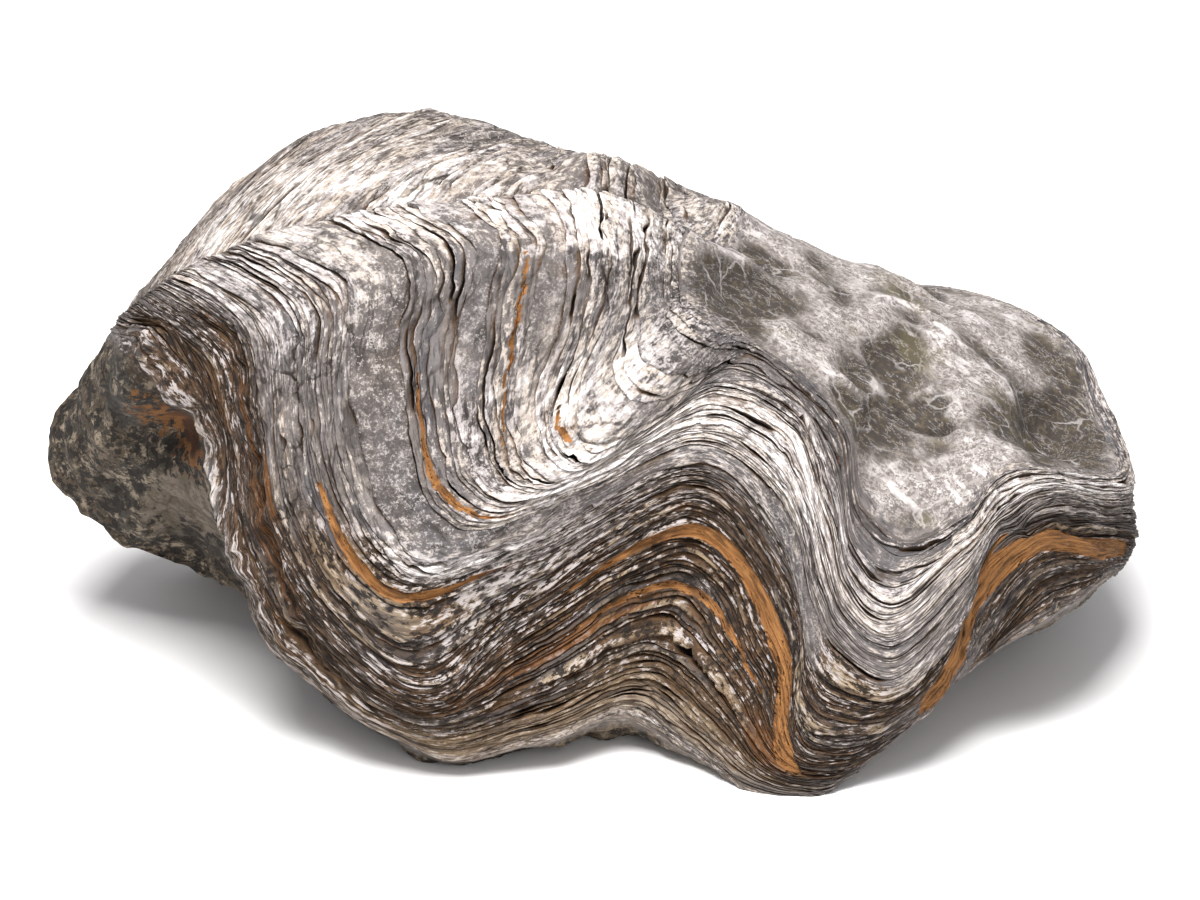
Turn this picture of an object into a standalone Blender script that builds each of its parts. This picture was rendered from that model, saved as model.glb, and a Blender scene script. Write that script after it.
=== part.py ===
"""A fossilised oyster: one stony mass of shell plates, folded into lobes and valleys.

The shell is a loft. Growth lines, one round each stage of the shell's growth, run from
the smooth cap at its beak to the turned-under rim, and each fold crosses them all. The
plates laid down between two growth lines end in overhanging ledges. The base is worn flat.
Sizes are in millimetres until the mesh is made; the scene is in metres, +Z up.
"""

import math

import bmesh
import bpy
import numpy as np
from mathutils import Vector, noise

MM = 0.001

# The folds are laid out in a sketch plane that leans back this far from upright.
SKETCH_LEAN = math.radians(25)

# Where each fold crosses each growth line, from the edge of the smooth cap to the underside:
# across from the middle, up the leaning sketch plane, and depth behind the plane's foot.
FOLDS = {
    "front ridge crest": (
        (15, 94, 60), (-4, 101, 52), (-41.5, 96.5, 50), (-64, 90, 50), (-72.5, 85, 51),
        (-76.5, 81.5, 52), (-81, 77.5, 54), (-87, 68.5, 63), (-91.5, 57, 72),
    ),
    "front flank, top": (
        (14, 89, 52), (-1.5, 92.5, 42), (-29.5, 89, 36), (-50, 82.5, 36), (-61, 76.5, 37),
        (-66.5, 73, 39), (-73.5, 74, 42), (-84.5, 61.5, 55), (-88.5, 48, 67),
    ),
    "front flank, middle": (
        (14, 85, 48), (-2.5, 81, 36), (-30.5, 74, 29), (-48.5, 67.5, 29), (-57.5, 61, 30),
        (-62.5, 60, 33), (-65.5, 59.5, 37), (-77, 51.5, 52), (-78, 40, 65),
    ),
    "front flank, foot": (
        (15, 82, 46), (-7, 66, 30), (-28.5, 56, 21), (-46, 51, 21), (-53.5, 43.5, 22),
        (-58, 41.5, 26), (-61.5, 41.5, 31), (-65, 44.5, 47), (-64.5, 38.5, 62),
    ),
    "first lobe, shoulder": (
        (17, 80, 45), (-6.5, 59, 26), (-24.5, 49.5, 17), (-39.5, 38, 14), (-45, 29, 14),
        (-50, 24.5, 17), (-53, 22, 20), (-47, 19, 36), (-43.5, 20.5, 48),
    ),
    "first lobe, tip": (
        (20.5, 78, 44), (-1.5, 56.5, 25), (-16.5, 46.5, 15), (-30, 33.5, 9), (-29, 18.5, 5),
        (-31, 12, 6), (-28.5, 7, 9), (-26.5, 7.5, 20), (-25, 16, 40),
    ),
    "first lobe, rise": (
        (23.5, 76.5, 44), (7.5, 61, 31), (0, 53, 25), (-10, 41, 20), (-11.5, 30.5, 17),
        (-12.5, 15, 10), (-10, 9, 9), (-9, 10, 23), (-9, 17, 40),
    ),
    "first valley": (
        (27.5, 74.5, 45), (21, 68.5, 38), (17.5, 59.5, 31), (16.5, 52.5, 28), (16, 45, 26),
        (7.5, 23.5, 20), (4, 13.5, 16), (2, 11, 26), (0, 17.5, 42),
    ),
    "first valley, fall": (
        (33.5, 69.5, 43), (33, 61.5, 34), (30.5, 51, 24), (31, 37.5, 18), (30, 26, 14),
        (18.5, 16, 12), (14.5, 7, 10), (11, 9, 20), (9, 17, 40),
    ),
    "second lobe, flank": (
        (41, 61, 38), (38.5, 47.5, 25), (36, 34, 15), (34, 19, 8), (32.5, 10, 5),
        (27.5, 5, 4), (23.5, 1.5, 3), (22.5, 5.5, 15), (20, 15, 36),
    ),
    "second lobe, shoulder": (
        (43.5, 48.5, 31), (41.5, 36, 18), (40, 26, 10), (39, 13.5, 4), (38.5, 6.5, 2),
        (35.5, 2.5, 1.5), (31.5, 0, 0.5), (31, 4, 12), (28.5, 13.5, 34),
    ),
    "second lobe, tip": (
        (51, 42, 28), (49, 30.5, 14), (49, 21, 8), (49, 14.5, 5), (46.5, 9, 4),
        (43, 4.5, 3), (38, 1, 2), (38.5, 5, 14), (36.5, 14.5, 36),
    ),
    "second lobe, rise": (
        (60, 46.5, 30), (61, 40.5, 20), (59.5, 31, 13), (58.5, 23.5, 11), (59, 18.5, 11),
        (57.5, 17, 14), (55, 15, 16), (51, 13.5, 26), (46.5, 17.5, 44),
    ),
    "second valley, shoulder": (
        (66.5, 53, 36), (67.5, 48, 28), (67, 44, 24), (66.5, 41.5, 22), (64, 34, 19),
        (65.5, 26, 21), (64, 23, 22), (61, 22.5, 36), (53.5, 21, 50),
    ),
    "second valley": (
        (74, 55, 42), (75.5, 51, 35), (76, 48.5, 31), (75.5, 46, 28), (74, 43, 24), (74, 36, 25),
        (73.5, 28.5, 24), (70, 28.5, 44), (61.5, 25.5, 58),
    ),
    "right end": (
        (86, 53, 54), (87.5, 49.5, 49), (88, 47, 46), (88, 45, 43), (86.5, 41.5, 38),
        (85.5, 38.5, 37), (83.5, 35, 37), (79, 31, 54), (66.5, 29, 66),
    ),
    "right end, back": (
        (88, 58, 72), (88.5, 53.5, 72), (88.5, 50, 71), (89, 46.5, 70), (89, 43.5, 68),
        (88, 41.5, 66), (85.5, 39, 64), (80, 38.5, 72), (68.5, 34, 76),
    ),
    "back, right": (
        (78.5, 78, 98), (80.5, 73.5, 102), (80, 69.5, 104), (77, 64.5, 105), (73.5, 59.5, 104),
        (68.5, 53.5, 101), (60, 47, 96), (50, 40.5, 92), (40, 33.5, 82),
    ),
    "back rib": (
        (61, 84.5, 112), (58.5, 80.5, 117), (52.5, 75.5, 119), (43.5, 70, 119), (30, 65, 117),
        (15, 58.5, 113), (-1.5, 52, 108), (-15, 44, 100), (-10, 36, 88),
    ),
    "back valley": (
        (43.5, 88, 110), (31.5, 88, 114), (16.5, 86, 115), (-3.5, 82, 115), (-23.5, 77, 112),
        (-41.5, 69.5, 106), (-55, 60, 99), (-64, 49.5, 94), (-60, 36.5, 86),
    ),
    "back lobe, rear": (
        (28.5, 94, 107), (11.5, 100, 112), (-3.5, 103.5, 114), (-25, 106, 112), (-45, 100, 106),
        (-61, 91, 99), (-72.5, 80.5, 92), (-79, 69.5, 92), (-79, 53.5, 88),
    ),
    "back lobe crest": (
        (20, 99.5, 99), (3.5, 106, 99), (-11.5, 109.5, 98), (-30, 115, 94), (-46.5, 112, 88),
        (-60, 102.5, 83), (-70.5, 92, 78), (-81, 77.5, 80), (-86, 61, 85),
    ),
    "back lobe, front": (
        (23.5, 96.5, 90), (2, 104.5, 87), (-26.5, 106, 83), (-50, 104, 76), (-64.5, 96.5, 71),
        (-71, 91, 69), (-76, 84.5, 67), (-84, 71.5, 71), (-88.5, 60, 79),
    ),
    "crest valley": (
        (19.5, 92.5, 75), (-1, 96, 68), (-41, 91.5, 62), (-65.5, 86.5, 59), (-73.5, 83, 58.5),
        (-77, 80.5, 59), (-81, 78, 60), (-85, 70, 67), (-90.5, 59.5, 75),
    ),
}

CAP_TOP = (56, 78.5, 80)
BASE_MIDDLE = (-6.5, 29, 62)
BOX_MIDDLE = (-1.15, 59.75)

GROWTH_LINES = 9
RIM_LINE = 6
KNOTS_BEFORE_LINES = 3
CAP_ROWS = (-1.78, -1.45, -1.1, -0.75, -0.4, -0.2)
UNDER_ROWS = (6.4, 6.8, 7.2, 7.6, 8.0, 8.4, 8.8, 9.2, 9.6)
PLATES_PER_LINE = 2
PLATE_PARTS = {"root": 0.06, "back": 0.5, "lip": 0.95}
FRONT_COLUMNS, BACK_COLUMNS = 4, 3
BACK_FOLDS = 7

CAP_SHARE, CAP_LIFT, CAP_ROUNDING = 0.55, 0.3, 14

LEDGE_HEIGHT, RIM_EXTRA, RIM_REACH = 1.5, 0.9, 0.06
MOST_LEDGE_SHARE = 0.9
LIP_SHARE, ROOT_SHARE = 0.3, -1.0
LEDGE_MIDDLE, LEDGE_SWING = 0.75, 0.6
WANDER, WANDER_FROM = 0.1, -0.3
LUMP_HEIGHT = 0.9
NOISE_SCALE = 0.08
WANDER_SEED, LEDGE_SEED, LUMP_SEED = 7, 31, 53
SHOW_GAIN = 3

# Rounded pits (height below 0) and knolls on the side that shows: across, up, half-width,
# half-height and height.
SPOTS = (
    (26.0, 85.0, 9.5, 7.0, -3.2),
    (46.5, 72.5, 5.5, 3.2, -1.8),
    (51.5, 65.0, 8.0, 5.5, -3.0),
    (78.5, 62.5, 8.5, 8.0, -3.6),
    (70.0, 46.0, 3.0, 2.2, -2.4),
    (-74.3, 58.5, 4.5, 6.0, -2.6),
    (0.0, 104.5, 7.0, 4.0, 2.2),
    (21.0, 97.5, 6.0, 4.0, 2.4),
    (-9.0, 107.5, 4.0, 3.0, -2.0),
    (12.0, 102.0, 3.5, 3.5, -3.4),
    (-75.0, 74.0, 4.5, 4.0, 2.6),
    (-78.0, 66.0, 4.0, 4.5, 1.8),
    (-31.5, 39.5, 5.0, 3.4, 1.6),
)

SHELL_COLOUR = (0.36, 0.33, 0.31, 1.0)
SHELL_ROUGHNESS = 0.85


def from_sketch(point):
    """Turns (across, up the sketch plane, depth) into upright (x, y, z)."""
    across, up, depth = point
    return across, depth, (up - depth * math.sin(SKETCH_LEAN)) / math.cos(SKETCH_LEAN)


def spline(knots, at, closed=False):
    """Reads a Catmull-Rom curve through knots, in their first axis, at the places given."""
    place = np.floor(at).astype(int)
    if not closed:
        place = np.clip(place, 1, len(knots) - 3)
    part = (at - place).reshape((-1,) + (1,) * (knots.ndim - 1))
    before, start, end, after = (knots[(place + step) % len(knots)] for step in (-1, 0, 1, 2))
    return 0.5 * (
        2 * start
        + (end - before) * part
        + (2 * before - 5 * start + 4 * end - after) * part**2
        + (3 * start - before - 3 * end + after) * part**3
    )


def column_places():
    """The places round the shell, counted in folds, where a column of points stands."""
    folds = len(FOLDS)
    counts = [FRONT_COLUMNS if k < folds - BACK_FOLDS else BACK_COLUMNS for k in range(folds)]
    return np.concatenate([k + np.arange(count) / count for k, count in enumerate(counts)])


def closing_rings(border, pole):
    """The ring halfway from a border to its pole, and its reflection beyond the pole."""
    rounded = border
    for _ in range(CAP_ROUNDING):
        rounded = (np.roll(rounded, 1, 0) + 2 * rounded + np.roll(rounded, -1, 0)) / 4
    spokes = rounded - rounded.mean(0)
    axis = np.cross(spokes, np.roll(spokes, -1, 0)).sum(0)
    axis /= np.linalg.norm(axis)
    rise = (pole - rounded) @ axis
    ring = pole + CAP_SHARE * (rounded - pole) + np.outer(CAP_LIFT * rise, axis)
    beyond = 2 * pole - ring + np.outer(2 * (ring - pole) @ axis, axis)
    return ring, beyond


def growth_curves():
    """One curve for each column, as knots from beyond the cap to beyond the base."""
    crossings = np.array([[from_sketch(p) for p in points] for points in FOLDS.values()])
    lines = spline(crossings, column_places(), closed=True)
    rings = [lines[:, k] for k in range(GROWTH_LINES)]
    for pole, at_start in ((CAP_TOP, True), (BASE_MIDDLE, False)):
        centre = np.array(from_sketch(pole))
        ring, beyond = closing_rings(rings[0] if at_start else rings[-1], centre)
        closing = [beyond, np.broadcast_to(centre, ring.shape), ring]
        rings = closing + rings if at_start else rings + closing[::-1]
    return np.stack(rings, axis=1)


def row_places():
    """Each row's place, counted in growth lines, and the part of a plate it runs along."""
    rows = [(growth, "back") for growth in CAP_ROWS] + [(PLATE_PARTS["lip"] - 1, "lip")]
    for line in range(RIM_LINE):
        for plate in range(PLATES_PER_LINE):
            for kind, share in PLATE_PARTS.items():
                rows.append((line + (plate + share) / PLATES_PER_LINE, kind))
    rows.append((RIM_LINE + PLATE_PARTS["root"], "root"))
    return rows + [(growth, "back") for growth in UNDER_ROWS]


def soft_noise(grid, seed):
    """Smooth noise from -1 to 1 at each point of a grid."""
    shift = Vector((seed, 0, 0))
    values = [noise.noise(Vector(point) * NOISE_SCALE + shift) for point in grid.reshape(-1, 3)]
    return np.array(values).reshape(grid.shape[:2])


def shell_grid(rows):
    """Rows by columns of points on the smooth folds, where the ledges wander a little."""
    curves = growth_curves()
    growth = np.array([line for line, _ in rows])
    straight = spline(curves.swapaxes(0, 1), growth + KNOTS_BEFORE_LINES)
    fade = np.clip((growth - WANDER_FROM) * (RIM_LINE + 1 - growth), 0, 1)
    wander = WANDER * fade[:, None] * soft_noise(straight, WANDER_SEED)
    places = growth[:, None] + wander + KNOTS_BEFORE_LINES
    return np.stack([spline(curve, places[:, c]) for c, curve in enumerate(curves)], axis=1)


def outward(grid):
    """The unit normal at each point of a grid."""
    along = np.gradient(grid, axis=0)
    around = (np.roll(grid, -1, 1) - np.roll(grid, 1, 1)) / 2
    normal = np.cross(along, around)
    return normal / np.maximum(np.linalg.norm(normal, axis=2, keepdims=True), 1e-9)


def relief(grid, rows, normal):
    """How far each point stands out from the smooth folds: ledges, lumps, pits and knolls."""
    spacing = np.linalg.norm(np.gradient(grid, axis=0), axis=2)
    uneven = LEDGE_MIDDLE + LEDGE_SWING * soft_noise(grid, LEDGE_SEED)
    out = LUMP_HEIGHT * soft_noise(grid, LUMP_SEED)
    shares = {"root": ROOT_SHARE, "back": 0.0, "lip": LIP_SHARE}
    for r, (growth, kind) in enumerate(rows):
        height = LEDGE_HEIGHT + RIM_EXTRA * (abs(growth - RIM_LINE) <= RIM_REACH)
        out[r] += shares[kind] * np.minimum(height * uneven[r], MOST_LEDGE_SHARE * spacing[r])
    towards = np.array((0, -math.cos(SKETCH_LEAN), math.sin(SKETCH_LEAN)))
    shows = np.clip(SHOW_GAIN * normal @ towards, 0, 1)
    up = grid[..., 1] * math.sin(SKETCH_LEAN) + grid[..., 2] * math.cos(SKETCH_LEAN)
    for across, high, half_width, half_height, depth in SPOTS:
        reach = ((grid[..., 0] - across) / half_width) ** 2 + ((up - high) / half_height) ** 2
        out += depth * shows * np.exp(-reach)
    return out


def shell_points():
    """The finished grid, with a point for each pole."""
    rows = row_places()
    grid = shell_grid(rows)
    normal = outward(grid)
    grid = grid + normal * relief(grid, rows, normal)[..., None]
    poles = np.array([from_sketch(CAP_TOP), from_sketch(BASE_MIDDLE)])
    middle = np.array((*BOX_MIDDLE, 0))
    return (grid - middle) * MM, (poles - middle) * MM


def shell_mesh(name):
    """Lofts the grid into a closed mesh and wears its base flat at height 0."""
    grid, poles = shell_points()
    mesh = bmesh.new()
    rows = [[mesh.verts.new(point) for point in row] for row in grid]
    top, bottom = (mesh.verts.new(pole) for pole in poles)
    columns = len(rows[0])
    for c in range(columns):
        after = (c + 1) % columns
        mesh.faces.new((top, rows[0][c], rows[0][after]))
        mesh.faces.new((bottom, rows[-1][after], rows[-1][c]))
        for upper, lower in zip(rows, rows[1:]):
            mesh.faces.new((upper[c], lower[c], lower[after], upper[after]))
    everything = mesh.verts[:] + mesh.edges[:] + mesh.faces[:]
    cut = bmesh.ops.bisect_plane(
        mesh, geom=everything, plane_co=(0, 0, 0), plane_no=(0, 0, -1), clear_outer=True
    )
    edges = [part for part in cut["geom_cut"] if isinstance(part, bmesh.types.BMEdge)]
    bmesh.ops.holes_fill(mesh, edges=edges)
    bmesh.ops.triangulate(mesh, faces=mesh.faces[:])
    bmesh.ops.recalc_face_normals(mesh, faces=mesh.faces[:])
    for face in mesh.faces:
        face.smooth = True
    data = bpy.data.meshes.new(name)
    mesh.to_mesh(data)
    mesh.free()
    return data


def shell_material(name):
    """Grey-brown petrified shell."""
    material = bpy.data.materials.new(name)
    material.use_nodes = True
    surface = material.node_tree.nodes["Principled BSDF"].inputs
    surface["Base Color"].default_value = SHELL_COLOUR
    surface["Roughness"].default_value = SHELL_ROUGHNESS
    surface["Metallic"].default_value = 0.0
    return material


def main():
    """Clears the scene and builds the fossil."""
    for old in list(bpy.data.objects):
        bpy.data.objects.remove(old)
    fossil = bpy.data.collections.new("fossil_oyster")
    bpy.context.scene.collection.children.link(fossil)
    data = shell_mesh("oyster_shell")
    data.materials.append(shell_material("petrified_shell"))
    fossil.objects.link(bpy.data.objects.new("oyster_shell", data))


main()
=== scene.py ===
"""Dresses a fossilised folded oyster: growth plates, clay seams, chalky crust and pitted cap.

The plates are laid over the folds that carry them, in zones that run from the smooth cap at
the beak to the worn underside. Each zone ends in a lip that overhangs the start of the next.
Sizes are in millimetres while a surface is worked out, and in metres once it is a mesh.
"""

import logging
import math
from dataclasses import dataclass, field, replace
from enum import Enum

import bpy
import numpy as np
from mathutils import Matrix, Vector
from numpy.typing import NDArray


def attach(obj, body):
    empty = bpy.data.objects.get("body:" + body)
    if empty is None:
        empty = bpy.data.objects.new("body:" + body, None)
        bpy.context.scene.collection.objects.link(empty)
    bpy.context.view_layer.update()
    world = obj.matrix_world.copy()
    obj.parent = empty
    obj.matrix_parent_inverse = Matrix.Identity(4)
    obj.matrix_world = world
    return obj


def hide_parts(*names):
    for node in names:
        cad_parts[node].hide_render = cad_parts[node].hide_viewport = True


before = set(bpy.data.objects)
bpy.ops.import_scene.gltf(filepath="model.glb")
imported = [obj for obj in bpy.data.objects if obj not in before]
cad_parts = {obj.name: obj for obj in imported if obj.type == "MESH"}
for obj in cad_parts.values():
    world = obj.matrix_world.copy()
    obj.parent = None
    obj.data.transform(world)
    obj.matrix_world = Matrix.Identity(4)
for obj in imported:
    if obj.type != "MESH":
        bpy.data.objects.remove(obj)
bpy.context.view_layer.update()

Array = NDArray[np.float64]
Triple = tuple[float, float, float]
Span = tuple[float, float]

LOG = logging.getLogger("fossil_oyster")
MM = 0.001
NODE = "oyster_shell"
UV_NAME = "OFBake"
HALF = 0.5

# Where each fold crosses each growth line, from the edge of the smooth cap to the underside:
# across from the middle, up the leaning sketch plane, and depth behind the plane's foot.
FOLDS: dict[str, tuple[Triple, ...]] = {
    "front ridge crest": (
        (15, 94, 60), (-4, 101, 52), (-41.5, 96.5, 50), (-64, 90, 50), (-72.5, 85, 51),
        (-76.5, 81.5, 52), (-81, 77.5, 54), (-87, 68.5, 63), (-91.5, 57, 72),
    ),
    "front flank, top": (
        (14, 89, 52), (-1.5, 92.5, 42), (-29.5, 89, 36), (-50, 82.5, 36), (-61, 76.5, 37),
        (-66.5, 73, 39), (-73.5, 74, 42), (-84.5, 61.5, 55), (-88.5, 48, 67),
    ),
    "front flank, middle": (
        (14, 85, 48), (-2.5, 81, 36), (-30.5, 74, 29), (-48.5, 67.5, 29), (-57.5, 61, 30),
        (-62.5, 60, 33), (-65.5, 59.5, 37), (-77, 51.5, 52), (-78, 40, 65),
    ),
    "front flank, foot": (
        (15, 82, 46), (-7, 66, 30), (-28.5, 56, 21), (-46, 51, 21), (-53.5, 43.5, 22),
        (-58, 41.5, 26), (-61.5, 41.5, 31), (-65, 44.5, 47), (-64.5, 38.5, 62),
    ),
    "first lobe, shoulder": (
        (17, 80, 45), (-6.5, 59, 26), (-24.5, 49.5, 17), (-39.5, 38, 14), (-45, 29, 14),
        (-50, 24.5, 17), (-53, 22, 20), (-47, 19, 36), (-43.5, 20.5, 48),
    ),
    "first lobe, tip": (
        (20.5, 78, 44), (-1.5, 56.5, 25), (-16.5, 46.5, 15), (-30, 33.5, 9), (-29, 18.5, 5),
        (-31, 12, 6), (-28.5, 7, 9), (-26.5, 7.5, 20), (-25, 16, 40),
    ),
    "first lobe, rise": (
        (23.5, 76.5, 44), (7.5, 61, 31), (0, 53, 25), (-10, 41, 20), (-11.5, 30.5, 17),
        (-12.5, 15, 10), (-10, 9, 9), (-9, 10, 23), (-9, 17, 40),
    ),
    "first valley": (
        (27.5, 74.5, 45), (21, 68.5, 38), (17.5, 59.5, 31), (16.5, 52.5, 28), (16, 45, 26),
        (7.5, 23.5, 20), (4, 13.5, 16), (2, 11, 26), (0, 17.5, 42),
    ),
    "first valley, fall": (
        (33.5, 69.5, 43), (33, 61.5, 34), (30.5, 51, 24), (31, 37.5, 18), (30, 26, 14),
        (18.5, 16, 12), (14.5, 7, 10), (11, 9, 20), (9, 17, 40),
    ),
    "second lobe, flank": (
        (41, 61, 38), (38.5, 47.5, 25), (36, 34, 15), (34, 19, 8), (32.5, 10, 5),
        (27.5, 5, 4), (23.5, 1.5, 3), (22.5, 5.5, 15), (20, 15, 36),
    ),
    "second lobe, shoulder": (
        (43.5, 48.5, 31), (41.5, 36, 18), (40, 26, 10), (39, 13.5, 4), (38.5, 6.5, 2),
        (35.5, 2.5, 1.5), (31.5, 0, 0.5), (31, 4, 12), (28.5, 13.5, 34),
    ),
    "second lobe, tip": (
        (51, 42, 28), (49, 30.5, 14), (49, 21, 8), (49, 14.5, 5), (46.5, 9, 4),
        (43, 4.5, 3), (38, 1, 2), (38.5, 5, 14), (36.5, 14.5, 36),
    ),
    "second lobe, rise": (
        (60, 46.5, 30), (61, 40.5, 20), (59.5, 31, 13), (58.5, 23.5, 11), (59, 18.5, 11),
        (57.5, 17, 14), (55, 15, 16), (51, 13.5, 26), (46.5, 17.5, 44),
    ),
    "second valley, shoulder": (
        (66.5, 53, 36), (67.5, 48, 28), (67, 44, 24), (66.5, 41.5, 22), (64, 34, 19),
        (65.5, 26, 21), (64, 23, 22), (61, 22.5, 36), (53.5, 21, 50),
    ),
    "second valley": (
        (74, 55, 42), (75.5, 51, 35), (76, 48.5, 31), (75.5, 46, 28), (74, 43, 24), (74, 36, 25),
        (73.5, 28.5, 24), (70, 28.5, 44), (61.5, 25.5, 58),
    ),
    "right end": (
        (86, 53, 54), (87.5, 49.5, 49), (88, 47, 46), (88, 45, 43), (86.5, 41.5, 38),
        (85.5, 38.5, 37), (83.5, 35, 37), (79, 31, 54), (66.5, 29, 66),
    ),
    "right end, back": (
        (88, 58, 72), (88.5, 53.5, 72), (88.5, 50, 71), (89, 46.5, 70), (89, 43.5, 68),
        (88, 41.5, 66), (85.5, 39, 64), (80, 38.5, 72), (68.5, 34, 76),
    ),
    "back, right": (
        (78.5, 78, 98), (80.5, 73.5, 102), (80, 69.5, 104), (77, 64.5, 105), (73.5, 59.5, 104),
        (68.5, 53.5, 101), (60, 47, 96), (50, 40.5, 92), (40, 33.5, 82),
    ),
    "back rib": (
        (61, 84.5, 112), (58.5, 80.5, 117), (52.5, 75.5, 119), (43.5, 70, 119), (30, 65, 117),
        (15, 58.5, 113), (-1.5, 52, 108), (-15, 44, 100), (-10, 36, 88),
    ),
    "back valley": (
        (43.5, 88, 110), (31.5, 88, 114), (16.5, 86, 115), (-3.5, 82, 115), (-23.5, 77, 112),
        (-41.5, 69.5, 106), (-55, 60, 99), (-64, 49.5, 94), (-60, 36.5, 86),
    ),
    "back lobe, rear": (
        (28.5, 94, 107), (11.5, 100, 112), (-3.5, 103.5, 114), (-25, 106, 112), (-45, 100, 106),
        (-61, 91, 99), (-72.5, 80.5, 92), (-79, 69.5, 92), (-79, 53.5, 88),
    ),
    "back lobe crest": (
        (20, 99.5, 99), (3.5, 106, 99), (-11.5, 109.5, 98), (-30, 115, 94), (-46.5, 112, 88),
        (-60, 102.5, 83), (-70.5, 92, 78), (-81, 77.5, 80), (-86, 61, 85),
    ),
    "back lobe, front": (
        (23.5, 96.5, 90), (2, 104.5, 87), (-26.5, 106, 83), (-50, 104, 76), (-64.5, 96.5, 71),
        (-71, 91, 69), (-76, 84.5, 67), (-84, 71.5, 71), (-88.5, 60, 79),
    ),
    "crest valley": (
        (19.5, 92.5, 75), (-1, 96, 68), (-41, 91.5, 62), (-65.5, 86.5, 59), (-73.5, 83, 58.5),
        (-77, 80.5, 59), (-81, 78, 60), (-85, 70, 67), (-90.5, 59.5, 75),
    ),
}

BACK_FOLDS = 7
GROWTH_LINES = 9
KNOTS_BEFORE_LINES = 3
PLATE_STEP = 7.31
GRAIN_LINES = 12.0
TINY = 1e-9


@dataclass(frozen=True)
class RockNoise:
    """Smooth random values on a lattice, the same on every run."""

    seed: int
    primes: tuple[int, int, int] = (73856093, 19349663, 83492791)
    seed_step: int = 2654435761
    stir: int = 1274126177
    shifts: tuple[int, int] = (13, 15)
    last_shift: int = 8
    mask: int = 0xFFFFFFFF
    sway: float = 0.6
    row_step: float = 9.0

    def corner(self, cell: NDArray[np.int64]) -> Array:
        """Gives each lattice corner its own value.

        Args:
            cell: Whole-number corner places, with the three axes last.

        Returns:
            One value from -1 to 1 for each corner.
        """
        mixed = (cell * np.array(self.primes)).sum(-1) + self.seed * self.seed_step
        for shift in self.shifts:
            mixed = ((mixed ^ (mixed >> shift)) & self.mask) * self.stir
        return ((mixed >> self.last_shift) & self.mask) * (2.0 / self.mask) - 1.0

    def smooth(self, points: Array, size: float | Triple) -> Array:
        """Reads the noise between the corners.

        Args:
            points: Places in millimetres, with the three axes last.
            size: Distance between corners, the same or one for each axis.

        Returns:
            One value from about -1 to 1 for each place.
        """
        place = points / np.array(size)
        cell = np.floor(place).astype(np.int64)
        part = smoothed(place - cell)
        total = np.zeros(points.shape[:-1])
        for corner in np.ndindex(2, 2, 2):
            step = np.array(corner)
            weight = np.where(step == 1, part, 1.0 - part).prod(-1)
            total += weight * self.corner(cell + step)
        return total

    def fractal(self, points: Array, size: float | Triple, octaves: int = 3) -> Array:
        """Adds finer and fainter layers of the noise.

        Args:
            points: Places in millimetres, with the three axes last.
            size: Distance between corners of the coarsest layer.
            octaves: Number of layers, each half the size of the one before.

        Returns:
            One value from about -1 to 1 for each place.
        """
        layers = [
            RockNoise(self.seed + k).smooth(points, np.array(size) / 2.0**k) / 2.0**k
            for k in range(octaves)
        ]
        return sum(layers) / (2.0 - 2.0 ** (1 - octaves))

    def blocks(self, along: Array, row: Array, length: float) -> Array:
        """Steps from one value to another along a plate, as broken edges do.

        Args:
            along: Distance round the shell.
            row: A number that differs from plate to plate.
            length: Usual length of one block.

        Returns:
            One value from -1 to 1 for each place, the same all over a block.
        """
        sway = self.sway * self.smooth(stack(along, row * self.row_step, 0.0), length)
        cell = stack(np.floor(along / length + sway), np.floor(row), 0.0)
        return self.corner(cell.astype(np.int64))


class Waver(Enum):
    """What changes along a plate: its layer of the noise, and its size in millimetres."""

    LIP_HEIGHT = (0.0, 8.0)
    CHIPS = (3.0, (3.0, 1.0, 1.0))
    BROKEN_STRETCHES = (13.0, 14.0)
    GAPE = (21.0, 6.0)
    SLITS = (33.0, (13.0, 3.0, 1.0))
    SLABS = (40.0, 11.0)
    PINCHES = (71.0, (8.0, 1.0, 1.0))

    def read(self, noise: RockNoise, along: Array, plate: Array) -> Array:
        """Reads it at each place of each plate, from about -1 to 1."""
        layer, size = self.value
        return noise.smooth(stack(along, plate * PLATE_STEP, layer), size)


class Lump(Enum):
    """A kind of lump in bare rock: its shift in the noise, size in millimetres and octaves."""

    CAP_RIDGES = (11.0, (13.0, 11.0, 9.0), 1)
    FINE_RIDGES = (47.0, 5.5, 1)
    LOBE_LUMPS = (31.0, 7.0, 4)
    LOBE_KNOBS = (5.0, 6.5, 1)

    def read(self, noise: RockNoise, flat: Array) -> Array:
        """Reads it at each place on the folds, from about -1 to 1."""
        shift, size, octaves = self.value
        return noise.fractal(flat + shift, size, octaves)


def stack(*parts: Array | float) -> Array:
    """Joins separate coordinates into one array with the axes last."""
    return np.stack(np.broadcast_arrays(*parts), axis=-1).astype(float)


def smoothed(part: Array) -> Array:
    """Eases a share of the way in and out."""
    return part * part * (3.0 - 2.0 * part)


def blend(low: float, high: float, values: Array) -> Array:
    """Ramps smoothly from 0 at low to 1 at high."""
    return smoothed(np.clip((values - low) / (high - low), 0.0, 1.0))


def spline(knots: tuple[Array, Array, Array, Array], part: Array) -> Array:
    """Reads a Catmull-Rom curve between its two middle knots.

    Args:
        knots: The four knots around the stretch.
        part: How far along the stretch, from 0 to 1.

    Returns:
        The place there.
    """
    before, start, end, after = knots
    return HALF * (
        2 * start
        + (end - before) * part
        + (2 * before - 5 * start + 4 * end - after) * part**2
        + (3 * start - before - 3 * end + after) * part**3
    )


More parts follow.
